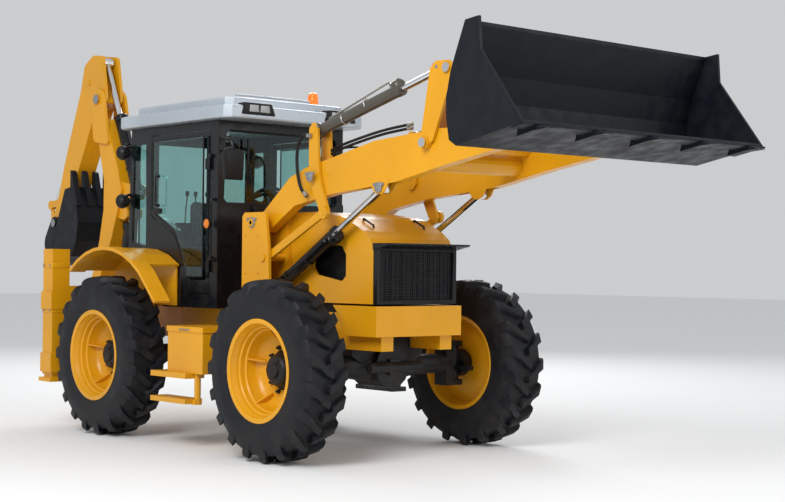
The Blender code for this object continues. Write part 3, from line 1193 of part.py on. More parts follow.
for thing in cutters.objects:
    thing.hide_render = True
    thing.display_type = "WIRE"
for thing in parts.objects:
    if thing.type == "MESH":
        thing.data.shade_smooth()
        thing.data.set_sharp_from_angle(angle=math.radians(35))
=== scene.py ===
# %% [markdown]
# # A backhoe loader, dressed on its fixed frame
# The imported frame gives every steel part its place and its moving body. This first step loads it and notes
# its outer box.

import json
import math

import bmesh
import bpy
from mathutils import Matrix, Vector


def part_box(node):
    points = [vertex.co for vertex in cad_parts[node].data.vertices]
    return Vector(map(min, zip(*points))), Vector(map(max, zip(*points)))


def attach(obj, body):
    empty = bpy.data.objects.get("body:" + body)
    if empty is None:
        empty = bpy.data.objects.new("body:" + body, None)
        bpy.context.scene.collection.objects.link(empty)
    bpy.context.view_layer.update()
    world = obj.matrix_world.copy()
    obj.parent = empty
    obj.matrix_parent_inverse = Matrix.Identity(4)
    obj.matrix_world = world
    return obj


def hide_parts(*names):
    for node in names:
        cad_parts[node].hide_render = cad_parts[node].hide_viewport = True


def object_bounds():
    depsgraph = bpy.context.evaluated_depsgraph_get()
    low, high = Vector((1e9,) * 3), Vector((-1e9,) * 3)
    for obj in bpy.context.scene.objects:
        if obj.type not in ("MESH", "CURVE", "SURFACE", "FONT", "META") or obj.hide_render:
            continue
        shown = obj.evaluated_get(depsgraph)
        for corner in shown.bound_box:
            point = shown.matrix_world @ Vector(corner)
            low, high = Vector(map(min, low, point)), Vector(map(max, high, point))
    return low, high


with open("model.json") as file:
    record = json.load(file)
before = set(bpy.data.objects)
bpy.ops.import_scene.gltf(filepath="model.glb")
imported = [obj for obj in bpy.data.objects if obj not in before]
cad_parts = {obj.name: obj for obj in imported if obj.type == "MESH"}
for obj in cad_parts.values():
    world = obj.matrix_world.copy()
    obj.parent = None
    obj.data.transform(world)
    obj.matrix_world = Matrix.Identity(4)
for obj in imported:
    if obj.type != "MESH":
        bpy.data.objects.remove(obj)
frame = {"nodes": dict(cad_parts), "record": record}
cad_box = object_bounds()

# %% [markdown]
# The machine was set out from its front axle, so the parts here are easiest to place from there as well.
# `AXLE_X` is where that axle stands in the shared frame.

# %% Reference lines of the machine
FRONT_TYRE = [Vector(c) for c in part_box("front_right_tyre")]
REAR_TYRE = [Vector(c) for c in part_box("rear_right_tyre")]
AXLE_X = (FRONT_TYRE[0].x + FRONT_TYRE[1].x) / 2
REAR_AXLE_X = (REAR_TYRE[0].x + REAR_TYRE[1].x) / 2
print("front axle at", round(AXLE_X, 3), "wheelbase", round(AXLE_X - REAR_AXLE_X, 3))


SIDES = (("right", -1), ("left", 1))


def at(x, y, z):
    """A point given from the front axle's centre line, on the ground."""
    return Vector((x + AXLE_X, y, z))


# %% [markdown]
# ## Finishes
# Paint on a working machine is never one flat colour. One node group makes the slow drift of tone, the fine
# dust that settles low down and the small scuffs, and every paint, casting and rubber finish uses it with
# its own amounts. It puts out a colour, a roughness and a height, and the shader stays in each material.

# %% The shared weathering group
def weathering_group():
    group = bpy.data.node_groups.new("weathering", "ShaderNodeTree")
    face = group.interface
    for name, kind, value in (
        ("Colour", "NodeSocketColor", (0.5, 0.5, 0.5, 1)),
        ("Dust Colour", "NodeSocketColor", (0.30, 0.24, 0.16, 1)),
        ("Scuff Colour", "NodeSocketColor", (0.2, 0.2, 0.2, 1)),
        ("Grain", "NodeSocketFloat", 40.0),
        ("Dust", "NodeSocketFloat", 0.2),
        ("Scuffs", "NodeSocketFloat", 0.1),
        ("Gloss Low", "NodeSocketFloat", 0.3),
        ("Gloss High", "NodeSocketFloat", 0.5),
    ):
        socket = face.new_socket(name, in_out="INPUT", socket_type=kind)
        socket.default_value = value
    face.new_socket("Colour", in_out="OUTPUT", socket_type="NodeSocketColor")
    face.new_socket("Roughness", in_out="OUTPUT", socket_type="NodeSocketFloat")
    face.new_socket("Height", in_out="OUTPUT", socket_type="NodeSocketFloat")
    nodes, links = group.nodes, group.links
    source = nodes.new("NodeGroupInput")
    result = nodes.new("NodeGroupOutput")
    place = nodes.new("ShaderNodeTexCoord")

    def noise(scale, detail, linked=None):
        tex = nodes.new("ShaderNodeTexNoise")
        tex.inputs["Scale"].default_value = scale
        tex.inputs["Detail"].default_value = detail
        links.new(place.outputs["Object"], tex.inputs["Vector"])
        if linked is not None:
            links.new(linked, tex.inputs["Scale"])
        return tex.outputs["Fac"]

    def remap(value, low, high, to_low, to_high):
        node = nodes.new("ShaderNodeMapRange")
        node.inputs["From Min"].default_value = low
        node.inputs["From Max"].default_value = high
        node.inputs["To Min"].default_value = to_low
        node.inputs["To Max"].default_value = to_high
        links.new(value, node.inputs["Value"])
        return node.outputs["Result"]

    def times(a, b):
        node = nodes.new("ShaderNodeMath")
        node.operation = "MULTIPLY"
        links.new(a, node.inputs[0])
        links.new(b, node.inputs[1])
        return node.outputs[0]

    def mixed(factor, a, b):
        node = nodes.new("ShaderNodeMix")
        node.data_type = "RGBA"
        links.new(factor, node.inputs["Factor"])
        links.new(a, node.inputs["A"])
        links.new(b, node.inputs["B"])
        return node.outputs["Result"]

    slow = noise(1.7, 3)
    patchy = noise(9.0, 5)
    grain = noise(40.0, 4, source.outputs["Grain"])
    split = nodes.new("ShaderNodeSeparateXYZ")
    links.new(place.outputs["Object"], split.inputs[0])
    low_down = remap(split.outputs["Z"], 0.0, 1.5, 1.0, 0.25)
    dust = times(times(remap(patchy, 0.42, 0.72, 0.0, 1.0), low_down), source.outputs["Dust"])
    scuff = times(remap(grain, 0.66, 0.72, 0.0, 1.0), source.outputs["Scuffs"])
    drift = nodes.new("ShaderNodeHueSaturation")
    links.new(source.outputs["Colour"], drift.inputs["Color"])
    links.new(remap(slow, 0.3, 0.7, 0.93, 1.07), drift.inputs["Value"])
    colour = mixed(dust, drift.outputs["Color"], source.outputs["Dust Colour"])
    colour = mixed(scuff, colour, source.outputs["Scuff Colour"])
    links.new(colour, result.inputs["Colour"])
    spread = nodes.new("ShaderNodeMix")
    spread.data_type = "FLOAT"
    links.new(remap(patchy, 0.35, 0.65, 0.0, 1.0), spread.inputs["Factor"])
    links.new(source.outputs["Gloss Low"], spread.inputs["A"])
    links.new(source.outputs["Gloss High"], spread.inputs["B"])
    links.new(spread.outputs["Result"], result.inputs["Roughness"])
    links.new(grain, result.inputs["Height"])
    return group


WEATHERING = weathering_group()
print("weathering group has", len(WEATHERING.nodes), "nodes")


# %% [markdown]
# Each finish is one Principled shader fed by that group. Only what is the same all over the surface, such as
# how metallic it is or the strength of its clear coat, is set straight on the shader.

# %% A finish with weathering
def finish(name, colour, gloss=(0.3, 0.45), dust=0.2, scuffs=0.08, grain=60.0, bump=0.15,
           metallic=0.0, coat=0.0, scuff_colour=(0.25, 0.25, 0.25), distance=0.0006,
           specular=0.5):
    material = bpy.data.materials.new(name)
    material.use_nodes = True
    tree = material.node_tree
    shader = tree.nodes["Principled BSDF"]
    shader.inputs["Metallic"].default_value = metallic
    shader.inputs["Specular IOR Level"].default_value = specular
    shader.inputs["Coat Weight"].default_value = coat
    shader.inputs["Coat Roughness"].default_value = 0.12
    wear = tree.nodes.new("ShaderNodeGroup")
    wear.node_tree = WEATHERING
    wear.inputs["Colour"].default_value = (*colour, 1)
    wear.inputs["Scuff Colour"].default_value = (*scuff_colour, 1)
    wear.inputs["Grain"].default_value = grain
    wear.inputs["Dust"].default_value = dust
    wear.inputs["Scuffs"].default_value = scuffs
    wear.inputs["Gloss Low"].default_value = gloss[0]
    wear.inputs["Gloss High"].default_value = gloss[1]
    relief = tree.nodes.new("ShaderNodeBump")
    relief.inputs["Strength"].default_value = bump
    relief.inputs["Distance"].default_value = distance
    tree.links.new(wear.outputs["Colour"], shader.inputs["Base Color"])
    tree.links.new(wear.outputs["Roughness"], shader.inputs["Roughness"])
    tree.links.new(wear.outputs["Height"], relief.inputs["Height"])
    tree.links.new(relief.outputs["Normal"], shader.inputs["Normal"])
    return material


FINISH = {
    "yellow_paint": finish("yellow_paint", (0.68, 0.31, 0.004), (0.26, 0.40), 0.05, 0.05,
                           coat=0.10, specular=0.35, scuff_colour=(0.55, 0.27, 0.02)),
    "black_paint": finish("black_paint", (0.004, 0.0045, 0.006), (0.20, 0.36), 0.03, 0.05, coat=0.12,
                          scuff_colour=(0.03, 0.03, 0.03), specular=0.3),
    "silver_paint": finish("silver_paint", (0.44, 0.49, 0.54), (0.26, 0.38), 0.06, 0.04, metallic=0.35,
                           scuff_colour=(0.35, 0.36, 0.38)),
    "bucket_paint": finish("bucket_paint", (0.004, 0.006, 0.010), (0.38, 0.60), 0.04, 0.25, grain=26,
                           bump=0.3, scuff_colour=(0.018, 0.021, 0.028), specular=0.22),
    "cylinder_paint": finish("cylinder_paint", (0.085, 0.078, 0.062), (0.32, 0.45), 0.12, 0.06, metallic=0.3),
    "chrome": finish("chrome", (0.72, 0.73, 0.75), (0.07, 0.16), 0.03, 0.02, metallic=1.0, bump=0.04),
    "cast_iron": finish("cast_iron", (0.007, 0.0075, 0.009), (0.42, 0.60), 0.10, 0.12, grain=90, bump=0.5,
                        scuff_colour=(0.03, 0.027, 0.025), distance=0.0015, specular=0.3),
    "tyre_rubber": finish("tyre_rubber", (0.0045, 0.0055, 0.009), (0.46, 0.68), 0.07, 0.10, grain=130,
                          bump=0.4,
                          scuff_colour=(0.012, 0.014, 0.02), distance=0.001, specular=0.28),
    "seat_vinyl": finish("seat_vinyl", (0.030, 0.035, 0.040), (0.45, 0.60), 0.05, 0.05, grain=220, bump=0.5,
                         scuff_colour=(0.06, 0.06, 0.06)),
    "black_plastic": finish("black_plastic", (0.006, 0.006, 0.007), (0.38, 0.52), 0.05, 0.06, grain=180,
                            bump=0.35, scuff_colour=(0.03, 0.03, 0.03), specular=0.3),
    "hose_rubber": finish("hose_rubber", (0.005, 0.005, 0.006), (0.42, 0.58), 0.05, 0.04, grain=240, bump=0.4,
                          specular=0.3),
    "zinc_steel": finish("zinc_steel", (0.40, 0.39, 0.36), (0.28, 0.42), 0.12, 0.08, metallic=0.9),
    "worn_steel": finish("worn_steel", (0.30, 0.31, 0.32), (0.38, 0.58), 0.10, 0.3, metallic=0.7, grain=24,
                         bump=0.3),
    "white_plate": finish("white_plate", (0.70, 0.71, 0.70), (0.4, 0.5), 0.08, 0.04),
}
print(len(FINISH), "weathered finishes")


# %% [markdown]
# Glass and lamp lenses let light through, so they are plain transmission shaders. The panes carry the faint
# blue-green tint that cab glass has, and a little dust on their roughness.

# %% Glass and lenses
def clear(name, colour, roughness=0.03, weight=1.0, glow=None):
    material = bpy.data.materials.new(name)
    material.use_nodes = True
    tree = material.node_tree
    shader = tree.nodes["Principled BSDF"]
    shader.inputs["Base Color"].default_value = (*colour, 1)
    shader.inputs["Transmission Weight"].default_value = weight
    shader.inputs["Metallic"].default_value = 0.0
    shader.inputs["IOR"].default_value = 1.45
    smear = tree.nodes.new("ShaderNodeTexNoise")
    smear.inputs["Scale"].default_value = 6.0
    spread = tree.nodes.new("ShaderNodeMapRange")
    spread.inputs["To Min"].default_value = roughness * 0.5
    spread.inputs["To Max"].default_value = roughness * 2.0
    tree.links.new(smear.outputs["Fac"], spread.inputs["Value"])
    tree.links.new(spread.outputs["Result"], shader.inputs["Roughness"])
    if glow:
        shader.inputs["Emission Color"].default_value = (*glow, 1)
        shader.inputs["Emission Strength"].default_value = 0.25
    return material


FINISH["cab_glass"] = clear("cab_glass", (0.47, 0.70, 0.68), 0.015)
FINISH["amber_lens"] = clear("amber_lens", (0.95, 0.28, 0.02), 0.1, 0.55, (0.9, 0.25, 0.02))
FINISH["clear_lens"] = clear("clear_lens", (0.85, 0.87, 0.86), 0.08, 0.7)
FINISH["red_lens"] = clear("red_lens", (0.6, 0.02, 0.01), 0.1, 0.4, (0.4, 0.01, 0.0))
print("glass and lens finishes added")

# %% [markdown]
# ## The steel that comes with the frame
# These plates already have the right shape. What they lack is the finish and the small rounded edge of real
# cut and welded plate, so each gets its material, a narrow bevel and shading that is smooth only across
# shallow bends.


# %% Soft edges by angle
def shading_tree():
    tree = bpy.data.node_groups.new("smooth_shallow_bends", "GeometryNodeTree")
    tree.interface.new_socket("Geometry", in_out="INPUT", socket_type="NodeSocketGeometry")
    tree.interface.new_socket("Geometry", in_out="OUTPUT", socket_type="NodeSocketGeometry")
    nodes, links = tree.nodes, tree.links
    source = nodes.new("NodeGroupInput")
    result = nodes.new("NodeGroupOutput")
    all_smooth = nodes.new("GeometryNodeSetShadeSmooth")
    sharp = nodes.new("GeometryNodeSetShadeSmooth")
    sharp.domain = "EDGE"
    sharp.inputs["Shade Smooth"].default_value = False
    bend = nodes.new("GeometryNodeInputMeshEdgeAngle")
    limit = nodes.new("FunctionNodeCompare")
    limit.data_type = "FLOAT"
    limit.operation = "GREATER_THAN"
    limit.inputs["B"].default_value = math.radians(32)
    links.new(source.outputs[0], all_smooth.inputs["Geometry"])
    links.new(bend.outputs["Unsigned Angle"], limit.inputs["A"])
    links.new(all_smooth.outputs[0], sharp.inputs["Geometry"])
    links.new(limit.outputs[0], sharp.inputs["Selection"])
    links.new(sharp.outputs[0], result.inputs[0])
    return tree


SHALLOW_BENDS = shading_tree()


def soften(thing, width=0.004, segments=2):
    """Rounds the sharp edges a little and shades the rest smoothly."""
    if width:
        bevel = thing.modifiers.new("rounded_edges", "BEVEL")
        bevel.width = width
        bevel.segments = segments
        bevel.limit_method = "ANGLE"
        bevel.angle_limit = math.radians(40)
        bevel.harden_normals = False
    bends = thing.modifiers.new("smooth_shallow_bends", "NODES")
    bends.node_group = SHALLOW_BENDS


SLOTS = {part["node"]: part["material_slot"] for part in frame["record"]["subparts"]}
EDGE = {"cab_roof": 0.012, "bonnet": 0.008, "engine_and_gearbox": 0.01}
for name, part in frame["nodes"].items():
    part.data.materials.clear()
    part.data.materials.append(FINISH[SLOTS[name]])
    soften(part, EDGE.get(name, 0.0025 if "rod" in name or "shaft" in name else 0.004))
print("finished", len(SLOTS), "parts of the frame")


# %% [markdown]
# ## Small tools for the added pieces
# A piece is gathered in one mesh from plates, turned shapes and bent tubes. Each helper adds to an open
# `bmesh`, so that a lamp or a mirror stays one piece on one body.

# %% Helpers that shape metal
def skin(shape, rings, closed=False):
    """Joins a row of rings of corners with faces."""
    pairs = list(zip(rings, rings[1:]))
    if closed:
        pairs.append((rings[-1], rings[0]))
    for one, two in pairs:
        count = len(one)
        for k in range(count):
            shape.faces.new((one[k], one[(k + 1) % count], two[(k + 1) % count], two[k]))


def turn(shape, profile, place, along="Y", steps=32):
    """A turned shape: (distance along, radius) pairs round an axis."""
    rings = []
    for distance, radius in profile:
        ring = []
        for k in range(steps):
            a = 2 * math.pi * k / steps
            u, v = radius * math.cos(a), radius * math.sin(a)
            spot = {"X": (distance, u, v), "Y": (u, distance, v), "Z": (u, v, distance)}[along]
            ring.append(shape.verts.new(Vector(place) + Vector(spot)))
        rings.append(ring)
    skin(shape, rings)
    shape.faces.new(rings[0])
    shape.faces.new(rings[-1][::-1])


def slab(shape, outline, low, high, along="Y"):
    """A flat plate: an outline, and the two levels between which it lies."""
    def spot(p, level):
        return {"X": (level, p[0], p[1]), "Y": (p[0], level, p[1]), "Z": (p[0], p[1], level)}[along]
    one = [shape.verts.new(spot(p, low)) for p in outline]
    two = [shape.verts.new(spot(p, high)) for p in outline]
    skin(shape, [one, two])
    shape.faces.new(one[::-1])
    shape.faces.new(two)


def brick(shape, low, high):
    """A block between two corners."""
    slab(shape, [(low[0], low[1]), (high[0], low[1]), (high[0], high[1]), (low[0], high[1])],
         low[2], high[2], along="Z")


def bent(points, steps=8):
    """A smooth path through points, as many short steps."""
    path = [Vector(p) for p in points]
    fine = []
    for k in range(len(path) - 1):
        p0 = path[max(k - 1, 0)]
        p1, p2 = path[k], path[k + 1]
        p3 = path[min(k + 2, len(path) - 1)]
        for s in range(steps):
            t = s / steps
            fine.append(0.5 * ((2 * p1) + (p2 - p0) * t + (2 * p0 - 5 * p1 + 4 * p2 - p3) * t * t
                               + (3 * p1 - p0 - 3 * p2 + p3) * t ** 3))
    fine.append(path[-1])
    return fine


def pipe(shape, points, radius, sides=10, smooth=True):
    """A round tube along a path."""
    path = bent(points) if smooth else [Vector(p) for p in points]
    rings = []
    normal = None
    for k, p in enumerate(path):
        ahead = (path[min(k + 1, len(path) - 1)] - path[max(k - 1, 0)]).normalized()
        if normal is None:
            normal = ahead.orthogonal().normalized()
        normal = (normal - ahead * normal.dot(ahead)).normalized()
        side = ahead.cross(normal)
        rings.append([shape.verts.new(p + radius * (math.cos(a) * normal + math.sin(a) * side))
                      for a in (2 * math.pi * i / sides for i in range(sides))])
    skin(shape, rings)
    shape.faces.new(rings[0][::-1])
    shape.faces.new(rings[-1])


def piece(name, shape, material, body, edge=0.002, replaces=()):
    """Closes the mesh, gives it its finish and puts it on its body."""
    bmesh.ops.recalc_face_normals(shape, faces=shape.faces)
    mesh = bpy.data.meshes.new(name)
    shape.to_mesh(mesh)
    shape.free()
    thing = bpy.data.objects.new(name, mesh)
    bpy.context.scene.collection.objects.link(thing)
    mesh.materials.append(FINISH[material])
    soften(thing, edge)
    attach(thing, body)
    if replaces:
        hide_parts(*replaces)
    return thing


print("helpers ready")

# %% [markdown]
# ## Tyres and wheels
# Earth-moving tyres carry thick bars that start at the middle and sweep back to the shoulder, left and right
# in turn. The carcass is a turned profile. One bar is swept along its bent path over the curved tread, with
# tapering sides, and then repeated round the tyre.

# %% One tyre
# Each station of a bar: distance from the middle plane, how far it has swept back, half width, height.
BAR_STATIONS = ((-0.012, 0.00, 0.030, 1.0), (0.05, 0.045, 0.033, 1.0), (0.105, 0.115, 0.037, 1.0),
                (0.148, 0.150, 0.044, 0.97), (0.166, 0.165, 0.046, 0.84), (0.1770, 0.168, 0.046, 0.40))
SWEEP = 1.15
TYRE_RADIUS = (FRONT_TYRE[1].z - FRONT_TYRE[0].z) / 2
TYRE_HALF = (FRONT_TYRE[1].y - FRONT_TYRE[0].y) / 2
LUG_HEIGHT = 0.046
BEAD_RADIUS = 0.372
LUGS = 19


def tread_radius(h):
    """The carcass radius at a distance h from the tyre's middle plane."""
    share = min(abs(h) / TYRE_HALF, 1.0)
    return TYRE_RADIUS - LUG_HEIGHT - 0.012 * share ** 2 - 0.10 * max(share - 0.80, 0) ** 1.5 * 3


def tyre(name, centre, body, node):
    shape = bmesh.new()
    half = TYRE_HALF - 0.003
    wall = [(-0.80, 0.0), (-0.93, 0.035), (-0.99, 0.085), (-1.0, 0.13), (-0.985, 0.17), (-0.95, 0.20),
            (-0.955, 0.212), (-0.92, 0.23), (-0.90, 0.255), (-0.86, 0.262)]
    profile = []
    for h in (-0.8, -0.5, -0.2, 0.2, 0.5, 0.8):
        profile.append((h * half, tread_radius(h * half)))
    shoulder = tread_radius(0.8 * half)
    right = [(-h * half, shoulder - drop) for h, drop in wall[1:]]
    left = [(h * half, shoulder - drop) for h, drop in wall[1:]]
    bead = [(left[-1][0] + 0.02, BEAD_RADIUS), (-left[-1][0] - 0.02, BEAD_RADIUS)]
    loop = left[::-1] + profile + right + [bead[1], bead[0]]
    steps = 76
    rings = []
    for k in range(steps):
        a = 2 * math.pi * k / steps
        rings.append([shape.verts.new(centre + Vector((r * math.cos(a), h, r * math.sin(a))))
                      for h, r in loop])
    skin(shape, rings, closed=True)
    for side in (-1, 1):
        for k in range(LUGS):
            start = 2 * math.pi * (k + (0.5 if side > 0 else 0.0)) / LUGS
            stations = []
            for h, turn_by, wide, tall in BAR_STATIONS:
                base = tread_radius(h) - 0.012 if h < 0.165 else tread_radius(h) - 0.06
                top = TYRE_RADIUS - 0.0006 - 0.004 * (h / TYRE_HALF) ** 2
                if tall < 1:
                    top -= (1 - tall) * 0.16
                flank = ((base, wide * 1.25), (top - 0.004, wide * 0.92), (top, wide * 0.80))
                ring = [(r, -w) for r, w in flank] + [(r, w) for r, w in flank[::-1]]
                stations.append([shape.verts.new(centre + Vector((
                    r * math.cos(start + turn_by * SWEEP + w / TYRE_RADIUS), side * h,
                    r * math.sin(start + turn_by * SWEEP + w / TYRE_RADIUS)))) for r, w in ring])
            skin(shape, stations)
            shape.faces.new(stations[0])
            shape.faces.new(stations[-1][::-1])
    piece(name, shape, "tyre_rubber", body, edge=0.0, replaces=(node,))


WHEELS = [(end, side) for end in ("front", "rear") for side in ("right", "left")]
for end, side in WHEELS:
    corner = [Vector(c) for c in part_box(f"{end}_{side}_tyre")]
    tyre(f"{end}_{side}_lugged_tyre", (corner[0] + corner[1]) / 2, f"{end}_{side}_wheel",
         f"{end}_{side}_tyre")
print(len(WHEELS), "tyres with", 2 * LUGS, "bars each")

# %% [markdown]
# The wheel is a pressed disc in a stepped rim. It is turned from one profile: the outer flange, two steps of
# the rim's well, the dished disc with its bolt circle and the dark hub in the middle. Short gussets stand
# between rim and disc.

# %% One wheel
def wheel(name, centre, body, node, outward):
    shape = bmesh.new()
    rim = [(-0.165, 0.355), (-0.176, 0.383), (-0.168, 0.388), (-0.150, 0.370), (-0.12, 0.362), (-0.06, 0.345),
           (0.06, 0.345), (0.118, 0.360), (0.150, 0.370), (0.160, 0.386), (0.1705, 0.386), (0.173, 0.372),
           (0.166, 0.352), (0.142, 0.345), (0.130, 0.335), (0.104, 0.330), (0.094, 0.318), (0.060, 0.312),
           (0.050, 0.300), (-0.02, 0.292), (-0.05, 0.272), (-0.072, 0.235), (-0.078, 0.155), (-0.078, 0.09),
           (-0.090, 0.09), (-0.090, 0.24), (-0.07, 0.285), (-0.06, 0.325), (-0.12, 0.340)]
    steps = 72
    rings = []
    for k in range(steps):
        a = 2 * math.pi * k / steps
        rings.append([shape.verts.new(centre + Vector((r * math.cos(a), outward * h, r * math.sin(a))))
                      for h, r in rim])
    skin(shape, rings, closed=True)
    for k in range(5):
        a = 2 * math.pi * (k + 0.3) / 5
        along = Vector((math.cos(a), 0, math.sin(a)))
        across = Vector((-math.sin(a), 0, math.cos(a))) * 0.006
        rib = [(-0.074, 0.225), (-0.055, 0.205), (0.055, 0.292), (0.055, 0.304), (-0.03, 0.296)]
        one = [shape.verts.new(centre + along * r + across + Vector((0, outward * h, 0))) for h, r in rib]
        two = [shape.verts.new(centre + along * r - across + Vector((0, outward * h, 0))) for h, r in rib]
        skin(shape, [one, two])
        shape.faces.new(one)
        shape.faces.new(two[::-1])
    piece(name, shape, "yellow_paint", body, edge=0.0, replaces=(node,))
    hub = bmesh.new()
    hub_profile = [(-0.079, 0.150), (-0.070, 0.152), (-0.060, 0.128), (-0.02, 0.120), (0.0, 0.112),
                   (0.014, 0.098), (0.016, 0.062), (0.036, 0.058), (0.040, 0.046), (0.040, 0.010)]
    turn(hub, [(outward * h, r) for h, r in hub_profile], centre, steps=40)
    for k in range(10):
        a = 2 * math.pi * k / 10
        spot = centre + Vector((0.172 * math.cos(a), 0, 0.172 * math.sin(a)))
        turn(hub, [(outward * h, r) for h, r in ((-0.079, 0.020), (-0.072, 0.020), (-0.0715, 0.0155),
                   (-0.056, 0.0155), (-0.055, 0.009), (-0.043, 0.009))], spot, steps=6)
    for k in range(3):
        a = 2 * math.pi * (k + 0.5) / 3
        spot = centre + Vector((0.083 * math.cos(a), outward * 0.012, 0.083 * math.sin(a)))
        turn(hub, [(0.0, 0.010), (outward * 0.010, 0.010)], spot, steps=6)
    piece(name.replace("_disc", "_hub"), hub, "cast_iron", body, edge=0.0015)


for end, side in WHEELS:
    corner = [Vector(c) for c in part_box(f"{end}_{side}_tyre")]
    wheel(f"{end}_{side}_disc", (corner[0] + corner[1]) / 2, f"{end}_{side}_wheel", f"{end}_{side}_rim",
          -1 if side == "right" else 1)
print(len(WHEELS), "wheel discs and hubs turned")

# %% [markdown]
# ## Cab glass and its seals
# Each pane is a thin closed plate that sits in its opening with a rubber seal round it. The panes follow the
# openings of the cab shell and the doors, and the door panes ride on the doors.

# %% Panes
CAB_FRONT, CAB_REAR = -1.30, -2.70
PANE_INSET = 0.045
PANE_THICKNESS = 0.006
SEAL_RADIUS = 0.009


def pane(name, outline, level, along, body):
    """A pane of glass and the rubber seal round it."""
    shape = bmesh.new()
    slab(shape, outline, level - PANE_THICKNESS / 2, level + PANE_THICKNESS / 2, along)
    piece(name, shape, "cab_glass", body, edge=0.0)
    seal = bmesh.new()
    ring = []
    for p in outline + outline[:1]:
        ring.append({"X": (level, p[0], p[1]), "Y": (p[0], level, p[1])}[along])
    pipe(seal, ring, SEAL_RADIUS, sides=6, smooth=False)
    piece(name + "_seal", seal, "hose_rubber", body, edge=0.0)


front_x = CAB_FRONT - PANE_INSET + AXLE_X
rear_x = CAB_REAR + PANE_INSET + AXLE_X
pane("windscreen", [(-0.585, 1.975), (0.585, 1.975), (0.575, 2.58), (-0.575, 2.58)],
     front_x, "X", "machine")
pane("rear_window", [(-0.575, 1.625), (0.575, 1.625), (0.575, 2.545), (-0.575, 2.545)],
     rear_x, "X", "machine")
door_line = [(-1.47, 1.36), (-1.70, 1.36), (-1.76, 1.53), (-1.90, 1.75), (-2.19, 1.89), (-2.25, 1.95),
             (-2.25, 2.53), (-1.47, 2.53)]
for side, sign in SIDES:
    outline = [(x + AXLE_X, z) for x, z in door_line]
    pane(f"door_glass_{side}", outline, sign * 0.690, "Y", f"door_{side}")
    quarter = [(x + AXLE_X, z) for x, z in ((-2.41, 1.62), (-2.63, 1.62), (-2.63, 2.54), (-2.41, 2.54))]
    pane(f"quarter_glass_{side}", quarter, sign * 0.648, "Y", "machine")
print("cab glazed")

# %% [markdown]
# ## Roof fittings
# Lamp pods sit at the roof's front corners, a hatch lies on top and an amber beacon stands on a short stalk.

# %% Lamps, hatch and beacon
ROOF_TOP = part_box("cab_roof")[1][2]
ROOF_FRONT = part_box("cab_roof")[1][0]


def lamp(name, centre, size, lens, body, facing=(1, 0, 0)):
    """A round-cornered lamp: a black housing with a lip round its face, and a domed lens."""
    shape = bmesh.new()
    if abs(facing[0]) > 0.5:
        along, sense = "X", facing[0]
    else:
        along, sense = "Y", facing[1]
    depth = size * 0.9
    turn(shape, [(-sense * depth, size * 0.45), (-sense * depth * 0.7, size * 0.8), (0, size),
                 (sense * 0.008, size), (sense * 0.008, size * 0.88), (0, size * 0.86)], centre, along, 24)
    piece(name + "_housing", shape, "black_plastic", body)
    glass = bmesh.new()
    turn(glass, [(0.0, size * 0.85), (sense * 0.006, size * 0.82), (sense * 0.014, size * 0.6),
                 (sense * 0.018, size * 0.25)], centre, along, 24)
    piece(name + "_lens", glass, lens, body, edge=0.0)


for side, sign in SIDES:
    pod = bmesh.new()
    z0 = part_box("cab_roof")[0][2] + 0.036
    slab(pod, [(sign * 0.26, z0), (sign * 0.60, z0), (sign * 0.575, z0 + 0.100), (sign * 0.30, z0 + 0.100)],
         ROOF_FRONT - 0.09, ROOF_FRONT + 0.014, "X")
    piece(f"roof_lamp_pod_{side}", pod, "black_plastic", "machine", edge=0.012)
    for k, y in enumerate((0.375, 0.485)):
        glass = bmesh.new()
        slab(glass, [(sign * (y - 0.048), z0 + 0.022), (sign * (y + 0.048), z0 + 0.022),
                     (sign * (y + 0.042), z0 + 0.080), (sign * (y - 0.042), z0 + 0.080)],
             ROOF_FRONT + 0.0145, ROOF_FRONT + 0.021, "X")
        piece(f"roof_lamp_glass_{side}_{k}", glass, "clear_lens", "machine", edge=0.003)
hatch = bmesh.new()
brick(hatch, at(-1.86, -0.36, ROOF_TOP + 0.0005), at(-1.46, 0.36, ROOF_TOP + 0.016))
piece("roof_hatch", hatch, "silver_paint", "machine", edge=0.012)
bar = bmesh.new()
RAIL_BENDS = ((-0.40, 0.001), (-0.40, 0.030), (-0.36, 0.044), (0.30, 0.044), (0.34, 0.030), (0.34, 0.001))
pipe(bar, [at(-1.40, y, ROOF_TOP + rise) for y, rise in RAIL_BENDS], 0.009)
piece("roof_rail", bar, "silver_paint", "machine", edge=0.0)
beacon_spot = at(-1.58, 0.54, ROOF_TOP)
foot = bmesh.new()
turn(foot, [(-0.004, 0.055), (0.012, 0.055), (0.018, 0.030), (0.030, 0.028), (0.032, 0.048),
            (0.040, 0.050)], beacon_spot, "Z")
piece("beacon_foot", foot, "black_plastic", "machine")
dome = bmesh.new()
turn(dome, [(0.041, 0.046), (0.050, 0.047), (0.120, 0.045), (0.142, 0.038), (0.152, 0.022), (0.155, 0.006)],
     beacon_spot, "Z")
piece("beacon_lens", dome, "amber_lens", "machine", edge=0.0)
ribs = bmesh.new()
for k in range(6):
    z = 0.056 + k * 0.012
    turn(ribs, [(z, 0.0475), (z + 0.003, 0.0485), (z + 0.004, 0.0470)], beacon_spot, "Z", 28)
piece("beacon_ribs", ribs, "amber_lens", "machine", edge=0.0)
